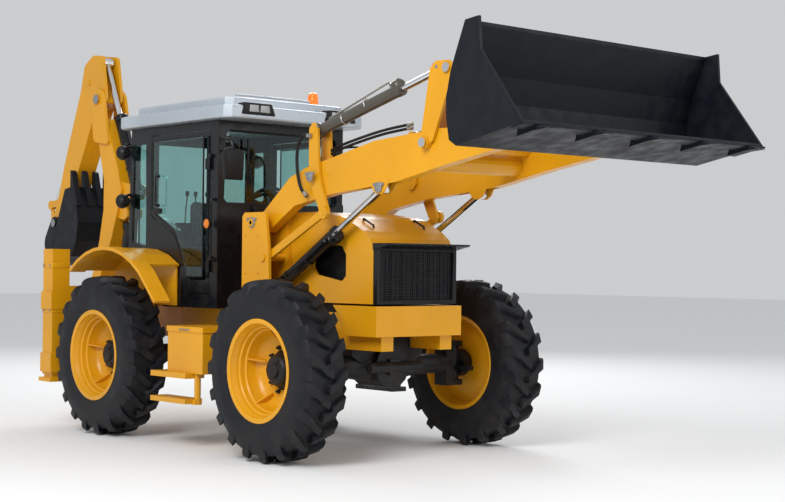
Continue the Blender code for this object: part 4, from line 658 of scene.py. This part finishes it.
for side, sign in SIDES:
    for z in (2.45, 2.02):
        lamp(f"rear_work_lamp_{side}_{int(z * 10)}", at(CAB_REAR + 0.015, sign * 0.735, z), 0.066,
             "clear_lens", "machine", (-1, 0, 0))
        arm = bmesh.new()
        pipe(arm, [at(CAB_REAR + 0.05, sign * 0.655, z + 0.05), at(CAB_REAR + 0.05, sign * 0.70, z + 0.055),
                   at(CAB_REAR + 0.045, sign * 0.735, z + 0.02)], 0.012)
        piece(f"rear_work_lamp_arm_{side}_{int(z * 10)}", arm, "black_plastic", "machine", edge=0.0)
    lamp(f"side_indicator_{side}", at(-1.365, sign * 0.722, 1.80), 0.046, "amber_lens", "machine",
         (0, sign, 0))
    lamp(f"tail_lamp_{side}", at(-3.13, sign * 0.86, 1.20), 0.036, "red_lens", "machine", (-1, 0, 0))
print("roof at", round(ROOF_TOP, 3))

# %% [markdown]
# ## Mirrors, wiper, handles and steps
# The mirror hangs from a bent tube that starts at the front pillar. It is a rounded shell with the glass set
# into its rear face. The wiper is an arm with a thin blade that lies on the windscreen.

# %% Mirrors and the wiper
for side, sign in SIDES:
    stem = bmesh.new()
    pipe(stem, [at(-1.30, sign * 0.64, 2.50), at(-1.16, sign * 0.68, 2.505), at(-1.06, sign * 0.70, 2.48),
                at(-1.035, sign * 0.70, 2.38), at(-1.035, sign * 0.70, 2.20)], 0.010)
    pipe(stem, [at(-1.30, sign * 0.64, 2.40), at(-1.18, sign * 0.67, 2.415), at(-1.04, sign * 0.70, 2.42)],
         0.008)
    for z in (2.50, 2.40):
        turn(stem, [(-0.005, 0.022), (0.012, 0.022)], at(-1.30, sign * 0.64, z), "X", 16)
    piece(f"mirror_arm_{side}", stem, "black_paint", "machine", edge=0.0)
    shell = bmesh.new()
    slab(shell, [(sign * 0.61, 2.15), (sign * 0.79, 2.15), (sign * 0.80, 2.37), (sign * 0.78, 2.40),
                 (sign * 0.62, 2.40), (sign * 0.60, 2.37)], AXLE_X - 1.045, AXLE_X - 1.005, "X")
    piece(f"mirror_shell_{side}", shell, "black_plastic", "machine", edge=0.014)
    face = bmesh.new()
    slab(face, [(sign * 0.62, 2.165), (sign * 0.78, 2.165), (sign * 0.785, 2.37), (sign * 0.615, 2.37)],
         AXLE_X - 1.0485, AXLE_X - 1.0455, "X")
    piece(f"mirror_glass_{side}", face, "chrome", "machine", edge=0.001)
wiper = bmesh.new()
wiper_x = CAB_FRONT + 0.012
pipe(wiper, [at(wiper_x, -0.30, 1.93), at(wiper_x + 0.012, -0.31, 2.00), at(wiper_x + 0.006, -0.36, 2.30)],
     0.006)
turn(wiper, [(-0.012, 0.020), (0.016, 0.018)], at(wiper_x, -0.30, 1.93), "X", 16)
brick(wiper, at(wiper_x - 0.012, -0.372, 2.10), at(wiper_x + 0.002, -0.356, 2.52))
piece("windscreen_wiper", wiper, "black_plastic", "machine", edge=0.001)
print("mirrors and wiper on")


# %% Handles, hinges and grips
def loop_handle(name, ends, rise, radius, material, body):
    a, b = (Vector(p) for p in ends)
    lift = Vector(rise)
    shape = bmesh.new()
    step = (b - a) * 0.12
    pipe(shape, [a, a + lift * 0.8, a + lift + step * 0.5, a + lift + step * 1.5, b + lift - step * 1.5,
                 b + lift - step * 0.5, b + lift * 0.8, b], radius)
    for p in (a, b):
        along = "XYZ"[max(range(3), key=lambda i: abs(lift[i]))]
        turn(shape, [(-0.002, radius * 2), (0.002, radius * 2)], p, along, 14)
    piece(name, shape, material, body, edge=0.0)


BONNET_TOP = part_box("bonnet")[1][2]
for side, sign in SIDES:
    loop_handle(f"door_grab_{side}", (at(-2.12, sign * 0.712, 1.97), at(-2.12, sign * 0.712, 2.22)),
                (0, sign * 0.035, 0), 0.008, "black_plastic", f"door_{side}")
    latch = bmesh.new()
    slab(latch, [(AXLE_X - x, z) for x, z in ((2.20, 1.90), (2.08, 1.90), (2.08, 1.945), (2.20, 1.945))],
         sign * 0.700, sign * 0.722, "Y")
    piece(f"door_latch_{side}", latch, "black_plastic", f"door_{side}", edge=0.006)
    loop_handle(f"entry_rail_{side}", (at(-1.345, sign * 0.668, 1.50), at(-1.345, sign * 0.668, 2.00)),
                (0, sign * 0.030, 0), 0.009, "black_paint", "machine")
loop_handle("toolbox_lid_grip", (at(-1.16, -1.098, 0.945), at(-1.02, -1.098, 0.945)), (0, -0.018, 0), 0.005,
            "zinc_steel", "toolbox_lid")
cap = bmesh.new()
turn(cap, [(-0.004, 0.05), (0.020, 0.050), (0.024, 0.044), (0.034, 0.042), (0.036, 0.030)],
     at(-1.10, 0.88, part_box("fuel_tank")[1][2] - 0.0), "Z", 24)
for k in range(12):
    a = 2 * math.pi * k / 12
    brick(cap, at(-1.10 + 0.046 * math.cos(a) - 0.005, 0.88 + 0.046 * math.sin(a) - 0.005, 1.004),
          at(-1.10 + 0.046 * math.cos(a) + 0.005, 0.88 + 0.046 * math.sin(a) + 0.005, 1.022))
piece("fuel_cap", cap, "black_plastic", "machine", edge=0.001)
print("handles on")

# %% [markdown]
# ## The bonnet's face
# A mesh of thin steel fills the grille, with a raised frame. The wires of real mesh would be too fine to see,
# so a coarser weave of flat bars keeps the same look from a few metres away.

# %% Grille mesh, latch and bonnet fittings
mesh_x = AXLE_X + 0.432
mesh = bmesh.new()
g_low, g_high = 1.205, 1.575  # the opening in the grille frame
for k in range(34):
    y = -0.355 + 0.710 * k / 33
    brick(mesh, (mesh_x - 0.004, y - 0.0028, g_low), (mesh_x, y + 0.0028, g_high))
for k in range(22):
    z = g_low + (g_high - g_low) * k / 21
    brick(mesh, (mesh_x - 0.0015, -0.36, z - 0.0024), (mesh_x + 0.0025, 0.36, z + 0.0024))
piece("grille_mesh", mesh, "black_paint", "bonnet", edge=0.0)
fan = bmesh.new()
for k in range(14):
    y = -0.36 + 0.72 * k / 13
    brick(fan, (mesh_x - 0.022, y - 0.001, g_low), (mesh_x - 0.008, y + 0.001, g_high))
piece("radiator_fins", fan, "cast_iron", "bonnet", edge=0.0)
frame_bar = bmesh.new()
rim_x = mesh_x + 0.010
rim_line = [(rim_x, -0.366, 1.199), (rim_x, 0.366, 1.199), (rim_x, 0.366, 1.580), (rim_x, -0.366, 1.580),
            (rim_x, -0.366, 1.199)]
pipe(frame_bar, rim_line, 0.0075, sides=8, smooth=False)
piece("grille_frame", frame_bar, "black_plastic", "bonnet", edge=0.0)
for side, sign in SIDES:
    grip_ends = (at(0.10, sign * 0.26, BONNET_TOP - 0.10), at(0.22, sign * 0.26, BONNET_TOP - 0.155))
    loop_handle(f"bonnet_grip_{side}", grip_ends, (0, 0, 0.045), 0.008, "black_paint", "bonnet")
print("grille face made")

# %% [markdown]
# ## Pins, collars and grease points
# Every joint of the arms turns on a pin with a flat head and a keeper plate held by one bolt. They are small,
# but they are what makes a linkage look like a machine. Each head rides on the part that holds its pin.

# %% Pin heads
PIN_HEADS = [
    ("arm_root", "machine", (-0.844, 1.803), 0.640, 0.044),
    ("rocker_foot", "loader_arms", (-0.131, 2.145), 0.612, 0.040),
    ("rocker_head", "rockers", (-0.144, 2.509), 0.560, 0.036),
    ("lever_foot", "loader_arms", (1.141, 2.338), 0.560, 0.040),
    ("lever_head", "tilt_levers", (1.251, 2.865), 0.560, 0.034),
    ("bucket_hinge", "loader_arms", (1.955, 2.335), 0.560, 0.040),
    ("lift_eye", "loader_arms", (0.614, 2.039), 0.552, 0.040),
]


def pin_head(name, body, x, z, y, radius, sign):
    shape = bmesh.new()
    spot = at(x, y * sign, z)
    profile = [(0.0, radius), (sign * 0.007, radius), (sign * 0.009, radius * 0.9),
               (sign * 0.009, radius * 0.45), (sign * 0.014, radius * 0.40), (sign * 0.014, radius * 0.1)]
    turn(shape, profile, spot, "Y", 20)
    brick(shape, (spot.x - radius * 1.5, min(y * sign, (y + 0.005) * sign), spot.z + radius * 0.35),
          (spot.x + radius * 1.5, max(y * sign, (y + 0.005) * sign), spot.z + radius * 0.85))
    turn(shape, [(sign * 0.004, radius * 0.28), (sign * 0.011, radius * 0.28)],
         Vector((spot.x + radius * 1.15, y * sign, spot.z + radius * 0.6)), "Y", 6)
    piece(name, shape, "worn_steel", body, edge=0.001)


HOE_Y = -0.35
for name, body, (x, z), y, radius in PIN_HEADS:
    for side, sign in SIDES:
        pin_head(f"{name}_pin_{side}", body, x, z, y, radius, sign)
for name, body, (x, z), y, radius in (
        ("boom_root", "kingpost", (-3.80, 1.04), 0.19, 0.045),
        ("dipper_root", "boom", (-3.59, 3.02), 0.145, 0.045),
        ("hoe_bucket_pivot", "backhoe_bucket", (-4.40, 1.86), 0.14, 0.038)):
    for side, sign in SIDES:
        shape_y = y * sign + HOE_Y
        shape = bmesh.new()
        spot = at(x, shape_y, z)
        turn(shape, [(0.0, radius), (sign * 0.008, radius), (sign * 0.010, radius * 0.85),
                     (sign * 0.010, radius * 0.3)], spot, "Y", 20)
        piece(f"{name}_pin_{side}", shape, "worn_steel", body, edge=0.001)
print("pin heads set")

# %% [markdown]
# ## Hydraulics
# Each ram's barrel ends in a thicker gland with a narrow band ring behind it, and has welded ports with a
# steel feed pipe along its back. The rams were placed by the frame, so their line is read from the barrel's
# own mesh.


# %% Ram fittings
BARREL_RADIUS = {"lift": 0.048, "tilt": 0.046, "boom": 0.052, "dipper": 0.055, "hoe": 0.044}


def ram_line(node):
    """Two ends of a ram's barrel, from the shape of the part itself, and its radius from the table of barrel
    radii.
    """
    points = [v.co.copy() for v in frame["nodes"][node].data.vertices]
    middle = sum(points, Vector()) / len(points)
    far = max(points, key=lambda p: (p - middle).length)
    other = max(points, key=lambda p: (p - far).length)
    line = other - far
    line.y = 0
    line.normalize()
    spread = [(p - middle).dot(line) for p in points]
    radius = BARREL_RADIUS[node.split("_")[0]]
    ends = (middle + line * min(spread), middle + line * max(spread))
    rod = frame["nodes"][node.replace("_barrel", "_rod")]
    rod_middle = sum((v.co for v in rod.data.vertices), Vector()) / len(rod.data.vertices)
    if (ends[0] - rod_middle).length < (ends[1] - rod_middle).length:
        ends = (ends[1], ends[0])
    return ends[0], ends[1], radius


def tube_ring(shape, start, direction, profile, steps=24):
    """A turned shape round any line."""
    side = direction.orthogonal().normalized()
    up = direction.cross(side)
    rings = []
    for d, r in profile:
        rings.append([shape.verts.new(start + direction * d + r * (math.cos(a) * side + math.sin(a) * up))
                      for a in (2 * math.pi * k / steps for k in range(steps))])
    skin(shape, rings)
    shape.faces.new(rings[0][::-1])
    shape.faces.new(rings[-1])


RAMS = [(f"{kind}_cylinder_{side}_barrel", body, paint) for side in ("right", "left")
        for kind, body, paint in (("lift", "lift_barrels", "black_paint"),
                                  ("tilt", "tilt_barrels", "cylinder_paint"))]
RAMS += [("boom_cylinder_barrel", "boom_barrel", "black_paint"),
         ("dipper_cylinder_barrel", "dipper_barrel", "black_paint"),
         ("hoe_bucket_cylinder_barrel", "hoe_barrel", "black_paint")]
for node, body, paint in RAMS:
    tail, mouth, radius = ram_line(node)
    line = (mouth - tail).normalized()
    length = (mouth - tail).length
    gland = bmesh.new()
    tube_ring(gland, mouth - line * 0.062, line,
              [(0, radius + 0.001), (0.003, radius + 0.008), (0.050, radius + 0.008), (0.056, radius + 0.003),
               (0.0625, radius - 0.004)])
    tube_ring(gland, mouth - line * 0.085, line, [(0, radius + 0.0005), (0.004, radius + 0.004),
                                                  (0.012, radius + 0.004), (0.016, radius + 0.0005)])
    piece(node.replace("_barrel", "_gland"), gland, paint, body, edge=0.0)
    up = Vector((-line.z, 0, line.x))
    if up.z < 0:
        up = -up
    if node.startswith("lift"):
        up = Vector((0, 1 if tail.y > 0 else -1, 0))
    feed = bmesh.new()
    back = tail + line * (0.16 * length) + up * (radius + 0.004)
    front = mouth - line * 0.11 + up * (radius + 0.004)
    pipe(feed, [back, back + up * 0.018 + line * 0.03, back + up * 0.020 + line * 0.08,
                front + up * 0.020 - line * 0.08, front + up * 0.018 - line * 0.03, front], 0.0085, sides=8)
    for p in (back, front):
        tube_ring(feed, p - up * 0.0055, up, [(0, 0.017), (0.012, 0.017), (0.014, 0.013)], 12)
    for share in (0.35, 0.62):
        spot = tail + line * (share * length)
        tube_ring(feed, spot - line * 0.006, line, [(0, radius + 0.001), (0.002, radius + 0.003),
                                                    (0.010, radius + 0.003), (0.012, radius + 0.001)], 20)
    pipe_finish = "zinc_steel" if paint == "cylinder_paint" else "black_paint"
    piece(node.replace("_barrel", "_feed_pipe"), feed, pipe_finish, body, edge=0.0)
print(len(RAMS), "rams fitted")

# %% [markdown]
# Rubber hoses lead the oil over each joint. A hose that lies along one part rides with it. Each ends in a
# crimped steel collar.


# %% Hoses
def hose(name, points, body, radius=0.012, offset=(0, 0, 0)):
    shape = bmesh.new()
    path = [Vector(p) + Vector(offset) for p in points]
    pipe(shape, path, radius, sides=10)
    piece(name, shape, "hose_rubber", body, edge=0.0)
    ends = bmesh.new()
    for p, q in ((path[0], path[1]), (path[-1], path[-2])):
        line = (q - p).normalized()
        tube_ring(ends, p - line * 0.006, line,
                  [(0, radius * 0.8), (0.002, radius * 1.45), (0.020, radius * 1.45), (0.022, radius * 1.2),
                   (0.050, radius * 1.25), (0.052, radius)], 12)
    piece(name + "_collars", ends, "zinc_steel", body, edge=0.0)


for side, sign in SIDES:
    for k in range(2):
        y = sign * 0.438
        along_arm = ((-0.62, 2.03), (-0.45, 2.16), (-0.22, 2.27), (-0.02, 2.345), (0.25, 2.40), (0.55, 2.445),
                     (0.85, 2.47))
        hose(f"arm_hose_{side}_{k}", [at(x, y, z) for x, z in along_arm], "loader_arms", 0.011,
             (0, 0, 0.028 * k))
        up_tower = [at(-0.72 - 0.03 * k, sign * 0.395, z) for z in (1.28, 1.42, 1.58, 1.72)]
        hose(f"tower_hose_{side}_{k}", up_tower, "machine", 0.011)
    side_y = sign * 0.585
    hose(f"rocker_hose_{side}", [at(-0.155, side_y, 2.46), at(-0.25, side_y, 2.47), at(-0.32, side_y, 2.38),
                                 at(-0.325, side_y, 2.22), at(-0.28, side_y, 2.07), at(-0.20, side_y, 2.00)],
         "rockers", 0.013)
for k in range(3):
    y = HOE_Y - 0.05 + 0.05 * k
    hose(f"boom_hose_{k}", [at(-3.66, y, 1.52), at(-3.56, y, 1.80), at(-3.46, y, 2.10), at(-3.44, y, 2.42),
                            at(-3.47, y, 2.72)], "boom", 0.011)
print("hoses run")

# %% [markdown]
# The stabiliser leg is gripped by three flat bands, each with two bolts on its outer face.

# %% Stabiliser bands
for side, sign in SIDES:
    sleeve_box = (at(-3.29, 0, 0).x, at(-3.12, 0, 0).x)
    bands = bmesh.new()
    for z in (0.62, 1.02, 1.42):
        y0, y1 = sorted((sign * 1.006, sign * 1.186))
        brick(bands, (sleeve_box[0] - 0.005, y0, z), (sleeve_box[1] + 0.005, y1, z + 0.045))
    piece(f"stabiliser_bands_{side}", bands, "yellow_paint", "machine", edge=0.003)
    band_bolts = bmesh.new()
    for z in (0.6425, 1.0425, 1.4425):
        for x in (sleeve_box[0] + 0.03, sleeve_box[1] - 0.03):
            turn(band_bolts, [(0, 0.011), (sign * 0.008, 0.011), (sign * 0.010, 0.008)],
                 Vector((x, sign * 1.186, z)), "Y", 6)
    piece(f"stabiliser_bolts_{side}", band_bolts, "zinc_steel", "machine", edge=0.0)
    plate_bolts = bmesh.new()
    for x, z in ((-0.93, 1.70), (-0.76, 1.70), (-0.93, 1.10), (-0.76, 1.10), (-0.93, 1.40), (-0.76, 1.40)):
        turn(plate_bolts, [(0, 0.012), (sign * 0.008, 0.012), (sign * 0.010, 0.009)],
             at(x, sign * 0.6375, z), "Y", 6)
    piece(f"tower_bolts_{side}", plate_bolts, "yellow_paint", "machine", edge=0.0)
print("stabiliser bands on")

# %% [markdown]
# ## Bucket wear parts
# A loading bucket slides on replaceable strips. They are bolted under the floor, over a thin wear plate.

# %% Loader bucket strips
BUCKET = [Vector(c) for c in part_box("loader_bucket")]
FLOOR_Z = BUCKET[0].z
strips = bmesh.new()
for k in range(6):
    y = -1.02 + 2.04 * k / 5
    brick(strips, at(2.06, y - 0.045, 2.3195), at(2.60, y + 0.045, 2.3365))
plate = bmesh.new()
brick(plate, at(2.05, -1.17, 2.3305), at(2.66, 1.17, 2.3345))
piece("bucket_wear_plate", plate, "worn_steel", "loader_bucket", edge=0.001)
piece("bucket_skid_bars", strips, "worn_steel", "loader_bucket", edge=0.004)
bolts = bmesh.new()
for k in range(6):
    y = -1.02 + 2.04 * k / 5
    for x in (2.12, 2.33, 2.54):
        turn(bolts, [(-0.004, 0.014), (0.003, 0.016)], at(x, y, 2.3190), "Z", 6)
piece("bucket_strip_bolts", bolts, "worn_steel", "loader_bucket", edge=0.0)
print("bucket floor at", round(FLOOR_Z, 3))

# %% [markdown]
# ## Inside the cab
# Behind the glass there is a steering wheel on its column, a console with short levers, an instrument hood
# and the driver's seat. The seat is foam under vinyl: a base and a back cushion with rolled edges, on a plain
# stand. Each cushion starts as a rounded block, is blown up slightly by a cloth simulation and then gets its
# stitched channels.

# %% Steering wheel and levers
wheel_mesh = bmesh.new()
RING_RADIUS = 0.178
hub_spot = at(-1.56, 0, 1.985)
tilt_axis = Vector((-0.50, 0, 0.866))
side_a = Vector((0, 1, 0))
side_b = tilt_axis.cross(side_a)
loop_points = []
for k in range(33):
    a = 2 * math.pi * k / 32
    spoke = math.cos(a) * side_a + math.sin(a) * side_b
    loop_points.append(hub_spot + tilt_axis * 0.012 + RING_RADIUS * spoke)
pipe(wheel_mesh, loop_points, 0.014, smooth=False)
for k in range(3):
    a = 2 * math.pi * (k + 0.25) / 3
    out = math.cos(a) * side_a + math.sin(a) * side_b
    pipe(wheel_mesh, [hub_spot + out * 0.02, hub_spot + out * 0.10 - tilt_axis * 0.006,
                      hub_spot + out * 0.172 + tilt_axis * 0.01], 0.008)
tube_ring(wheel_mesh, hub_spot - tilt_axis * 0.03, tilt_axis,
          [(0, 0.030), (0.02, 0.042), (0.036, 0.040), (0.042, 0.02)])
knob = hub_spot + RING_RADIUS * side_b + tilt_axis * 0.02
tube_ring(wheel_mesh, knob, tilt_axis,
          [(0, 0.009), (0.020, 0.010), (0.030, 0.022), (0.052, 0.022), (0.060, 0.010)], 16)
piece("steering_wheel", wheel_mesh, "black_plastic", "machine", edge=0.0)
column = bmesh.new()
foot_spot = hub_spot - tilt_axis * 0.30
tube_ring(column, foot_spot, tilt_axis, [(0, 0.040), (0.15, 0.036), (0.26, 0.026), (0.275, 0.022)], 20)
piece("steering_column", column, "black_plastic", "machine", edge=0.0)
levers = bmesh.new()
for k, (x, y, lean) in enumerate(((-2.05, -0.42, 0.02), (-1.98, -0.42, -0.01), (-1.91, -0.42, 0.02),
                                  (-2.545, -0.16, 0.03), (-2.545, -0.05, 0.0), (-2.545, 0.06, 0.02),
                                  (-2.545, 0.17, -0.02))):
    base = at(x, y, 1.60 if k < 3 else 1.84)
    top = base + Vector((lean, 0.0, 0.24))
    pipe(levers, [base, base + Vector((lean * 0.3, 0, 0.12)), top], 0.006, sides=8)
    turn(levers, [(0, 0.008), (0.010, 0.017), (0.034, 0.019), (0.048, 0.012), (0.052, 0.004)], top, "Z", 16)
console = bmesh.new()
slab(console, [(AXLE_X - 2.14, 1.20), (AXLE_X - 1.84, 1.20), (AXLE_X - 1.82, 1.56), (AXLE_X - 1.86, 1.61),
               (AXLE_X - 2.12, 1.61), (AXLE_X - 2.15, 1.56)], -0.49, -0.36, "Y")
piece("lever_console", console, "black_plastic", "machine", edge=0.012)
piece("control_levers", levers, "black_plastic", "machine", edge=0.0)
hood = bmesh.new()
slab(hood, [(AXLE_X - 1.345, 1.92), (AXLE_X - 1.345, 1.965), (AXLE_X - 1.42, 2.005), (AXLE_X - 1.49, 1.99),
            (AXLE_X - 1.50, 1.93)], -0.28, 0.28, "Y")
piece("instrument_hood", hood, "black_plastic", "machine", edge=0.012)
print("controls made")


# %% One cushion
VOXEL = 0.014
PRESSURE = 4.0
LAST_STEP = 14
MOVE_CAP = 0.012
CHANNEL_DEPTH = 0.007


def cushion(name, low, high, crown, channels, body):
    """A foam cushion: a soft block, blown up a little, with sewn channels across it."""
    low, high = Vector(low), Vector(high)
    size = high - low
    shape = bmesh.new()
    bmesh.ops.create_cube(shape, size=1.0)
    for v in shape.verts:
        v.co = Vector((v.co.x * size.x, v.co.y * size.y, v.co.z * size.z)) * 0.93 + (low + high) / 2
    bmesh.ops.bevel(shape, geom=shape.edges[:], offset=min(size) * 0.32, segments=4, profile=0.6,
                    affect="EDGES")
    mesh = bpy.data.meshes.new(name)
    shape.to_mesh(mesh)
    shape.free()
    thing = bpy.data.objects.new(name, mesh)
    bpy.context.scene.collection.objects.link(thing)
    remesh = thing.modifiers.new("even_grid", "REMESH")
    remesh.mode = "VOXEL"
    remesh.voxel_size = VOXEL
    depsgraph = bpy.context.evaluated_depsgraph_get()
    grid = bpy.data.meshes.new_from_object(thing.evaluated_get(depsgraph))
    thing.modifiers.clear()
    thing.data = grid
    before = [v.co.copy() for v in grid.vertices]
    cloth = thing.modifiers.new("foam", "CLOTH")
    cloth.settings.use_pressure = True
    cloth.settings.uniform_pressure_force = PRESSURE
    cloth.settings.effector_weights.gravity = 0
    cloth.settings.quality = 4
    for step in range(1, LAST_STEP + 1):
        bpy.context.scene.frame_set(step)
    depsgraph = bpy.context.evaluated_depsgraph_get()
    blown = bpy.data.meshes.new_from_object(thing.evaluated_get(depsgraph))
    thing.modifiers.clear()
    for v, was in zip(blown.vertices, before):
        move = v.co - was
        if move.length > MOVE_CAP:
            v.co = was + move.normalized() * MOVE_CAP
    thing.data = blown
    bpy.context.scene.frame_set(1)
    axis = 2 if size.z < size.x else 0
    along = 0 if axis == 2 else 2
    centre = (low + high) / 2
    for v in thing.data.vertices:
        p = v.co
        u = (p[along] - centre[along]) / (size[along] / 2)
        w = (p.y - centre.y) / (size.y / 2)
        face = (p[axis] - centre[axis]) / (size[axis] / 2)
        if face > 0.1:
            rise = crown * (1 - min(abs(w), 1) ** 2) * (1 - min(abs(u), 1) ** 4)
            groove = 0.0
            for c in channels:
                groove += math.exp(-((u - c) / 0.045) ** 2) * CHANNEL_DEPTH * (1 - min(abs(w), 1) ** 8)
            bolster = 0.016 * max(0.0, abs(w) - 0.62)
            p[axis] += (rise - groove + bolster) * min(face, 1)
        p.y = max(low.y, min(high.y, p.y))
        p[along] = max(low[along], min(high[along], p[along]))
    for polygon in thing.data.polygons:
        polygon.use_smooth = True
    smooth = thing.modifiers.new("finer_skin", "SUBSURF")
    smooth.levels = 1
    smooth.render_levels = 1
    thing.data.materials.clear()
    thing.data.materials.append(FINISH["seat_vinyl"])
    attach(thing, body)


# %% The driver's seat
low, high = (Vector(c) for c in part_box("seat"))
base_low = Vector((low.x + 0.08, low.y + 0.005, low.z + 0.16))
cushion("seat_base_cushion", base_low, (high.x - 0.005, high.y - 0.005, low.z + 0.28), 0.010,
        (-0.45, 0.0, 0.45), "seat")
cushion("seat_back_cushion", (low.x + 0.015, low.y + 0.015, low.z + 0.26),
        (low.x + 0.125, high.y - 0.015, high.z - 0.010), 0.010, (-0.5, -0.1, 0.3, 0.66), "seat")
stand = bmesh.new()
brick(stand, (low.x + 0.12, low.y + 0.06, low.z), (high.x - 0.06, high.y - 0.06, low.z + 0.06))
brick(stand, (low.x + 0.16, low.y + 0.10, low.z + 0.06), (high.x - 0.10, high.y - 0.10, low.z + 0.13))
brick(stand, (low.x + 0.09, low.y + 0.03, low.z + 0.13), (high.x - 0.03, high.y - 0.03, low.z + 0.165))
brick(stand, (low.x + 0.005, low.y + 0.05, low.z + 0.16), (low.x + 0.02, high.y - 0.05, high.z - 0.06))
piece("seat_stand", stand, "black_plastic", "seat", edge=0.006, replaces=("seat",))
print("seat made with blown cushions")

# %% [markdown]
# ## Floor, light and camera
# A pale floor and three soft lamps show the paint without hard shadows. The camera stands low in front of the
# machine's right side, so that the raised bucket reaches over the bonnet.

# %% Stage
floor_mesh = bpy.data.meshes.new("floor")
floor_mesh.from_pydata([(-60, -60, 0), (60, -60, 0), (60, 60, 0), (-60, 60, 0)], [], [(0, 1, 2, 3)])
floor = bpy.data.objects.new("floor", floor_mesh)
floor.location.z = min(cad_box[0][2], 0) - 0.002
bpy.context.scene.collection.objects.link(floor)
plain = bpy.data.materials.new("pale_floor")
plain.use_nodes = True
plain.node_tree.nodes["Principled BSDF"].inputs["Base Color"].default_value = (0.86, 0.86, 0.86, 1)
plain.node_tree.nodes["Principled BSDF"].inputs["Roughness"].default_value = 0.85
floor.data.materials.append(plain)
world = bpy.data.worlds.new("soft_sky")
world.use_nodes = True
world.node_tree.nodes["Background"].inputs["Color"].default_value = (0.96, 0.98, 1.0, 1)
world.node_tree.nodes["Background"].inputs["Strength"].default_value = 0.62
bpy.context.scene.world = world
bpy.context.scene.view_settings.view_transform = "Standard"


def soft_lamp(name, place, aim, size, power):
    light = bpy.data.lights.new(name, "AREA")
    light.shape = "SQUARE"
    light.size = size
    light.energy = power
    lamp_object = bpy.data.objects.new(name, light)
    lamp_object.location = place
    lamp_object.rotation_euler = (Vector(aim) - Vector(place)).to_track_quat("-Z", "Y").to_euler()
    bpy.context.scene.collection.objects.link(lamp_object)


soft_lamp("key_light", (5.0, -9.0, 8.0), (0, 0, 1.5), 5.0, 950)
soft_lamp("fill_light", (11.0, 4.0, 5.0), (0, 0, 1.5), 6.0, 260)
soft_lamp("rim_light", (-8.0, 7.0, 7.5), (0, 0, 1.5), 5.0, 500)
print("stage lit")

# %% Camera
HEADING, RISE, LEAN = math.radians(139.039), math.radians(0.662), math.radians(0.582)
forward = Vector((math.cos(HEADING) * math.cos(RISE), math.sin(HEADING) * math.cos(RISE), math.sin(RISE)))
level = Vector((math.sin(HEADING), -math.cos(HEADING), 0))
upright = level.cross(forward)
right = math.cos(LEAN) * level + math.sin(LEAN) * upright
up = -math.sin(LEAN) * level + math.cos(LEAN) * upright
lens = bpy.data.cameras.new("camera")
lens.lens = 69.37
lens.sensor_width = 36.0
camera = bpy.data.objects.new("camera", lens)
basis = Matrix((right, up, -forward)).transposed().to_4x4()
camera.matrix_world = Matrix.Translation(at(9.061, -7.7411, 1.4458)) @ basis
bpy.context.scene.collection.objects.link(camera)
bpy.context.scene.camera = camera
print("camera set")

# %% [markdown]
# The last cell brings the scene up to date.

# %% Bringing the scene up to date
bpy.context.view_layer.update()
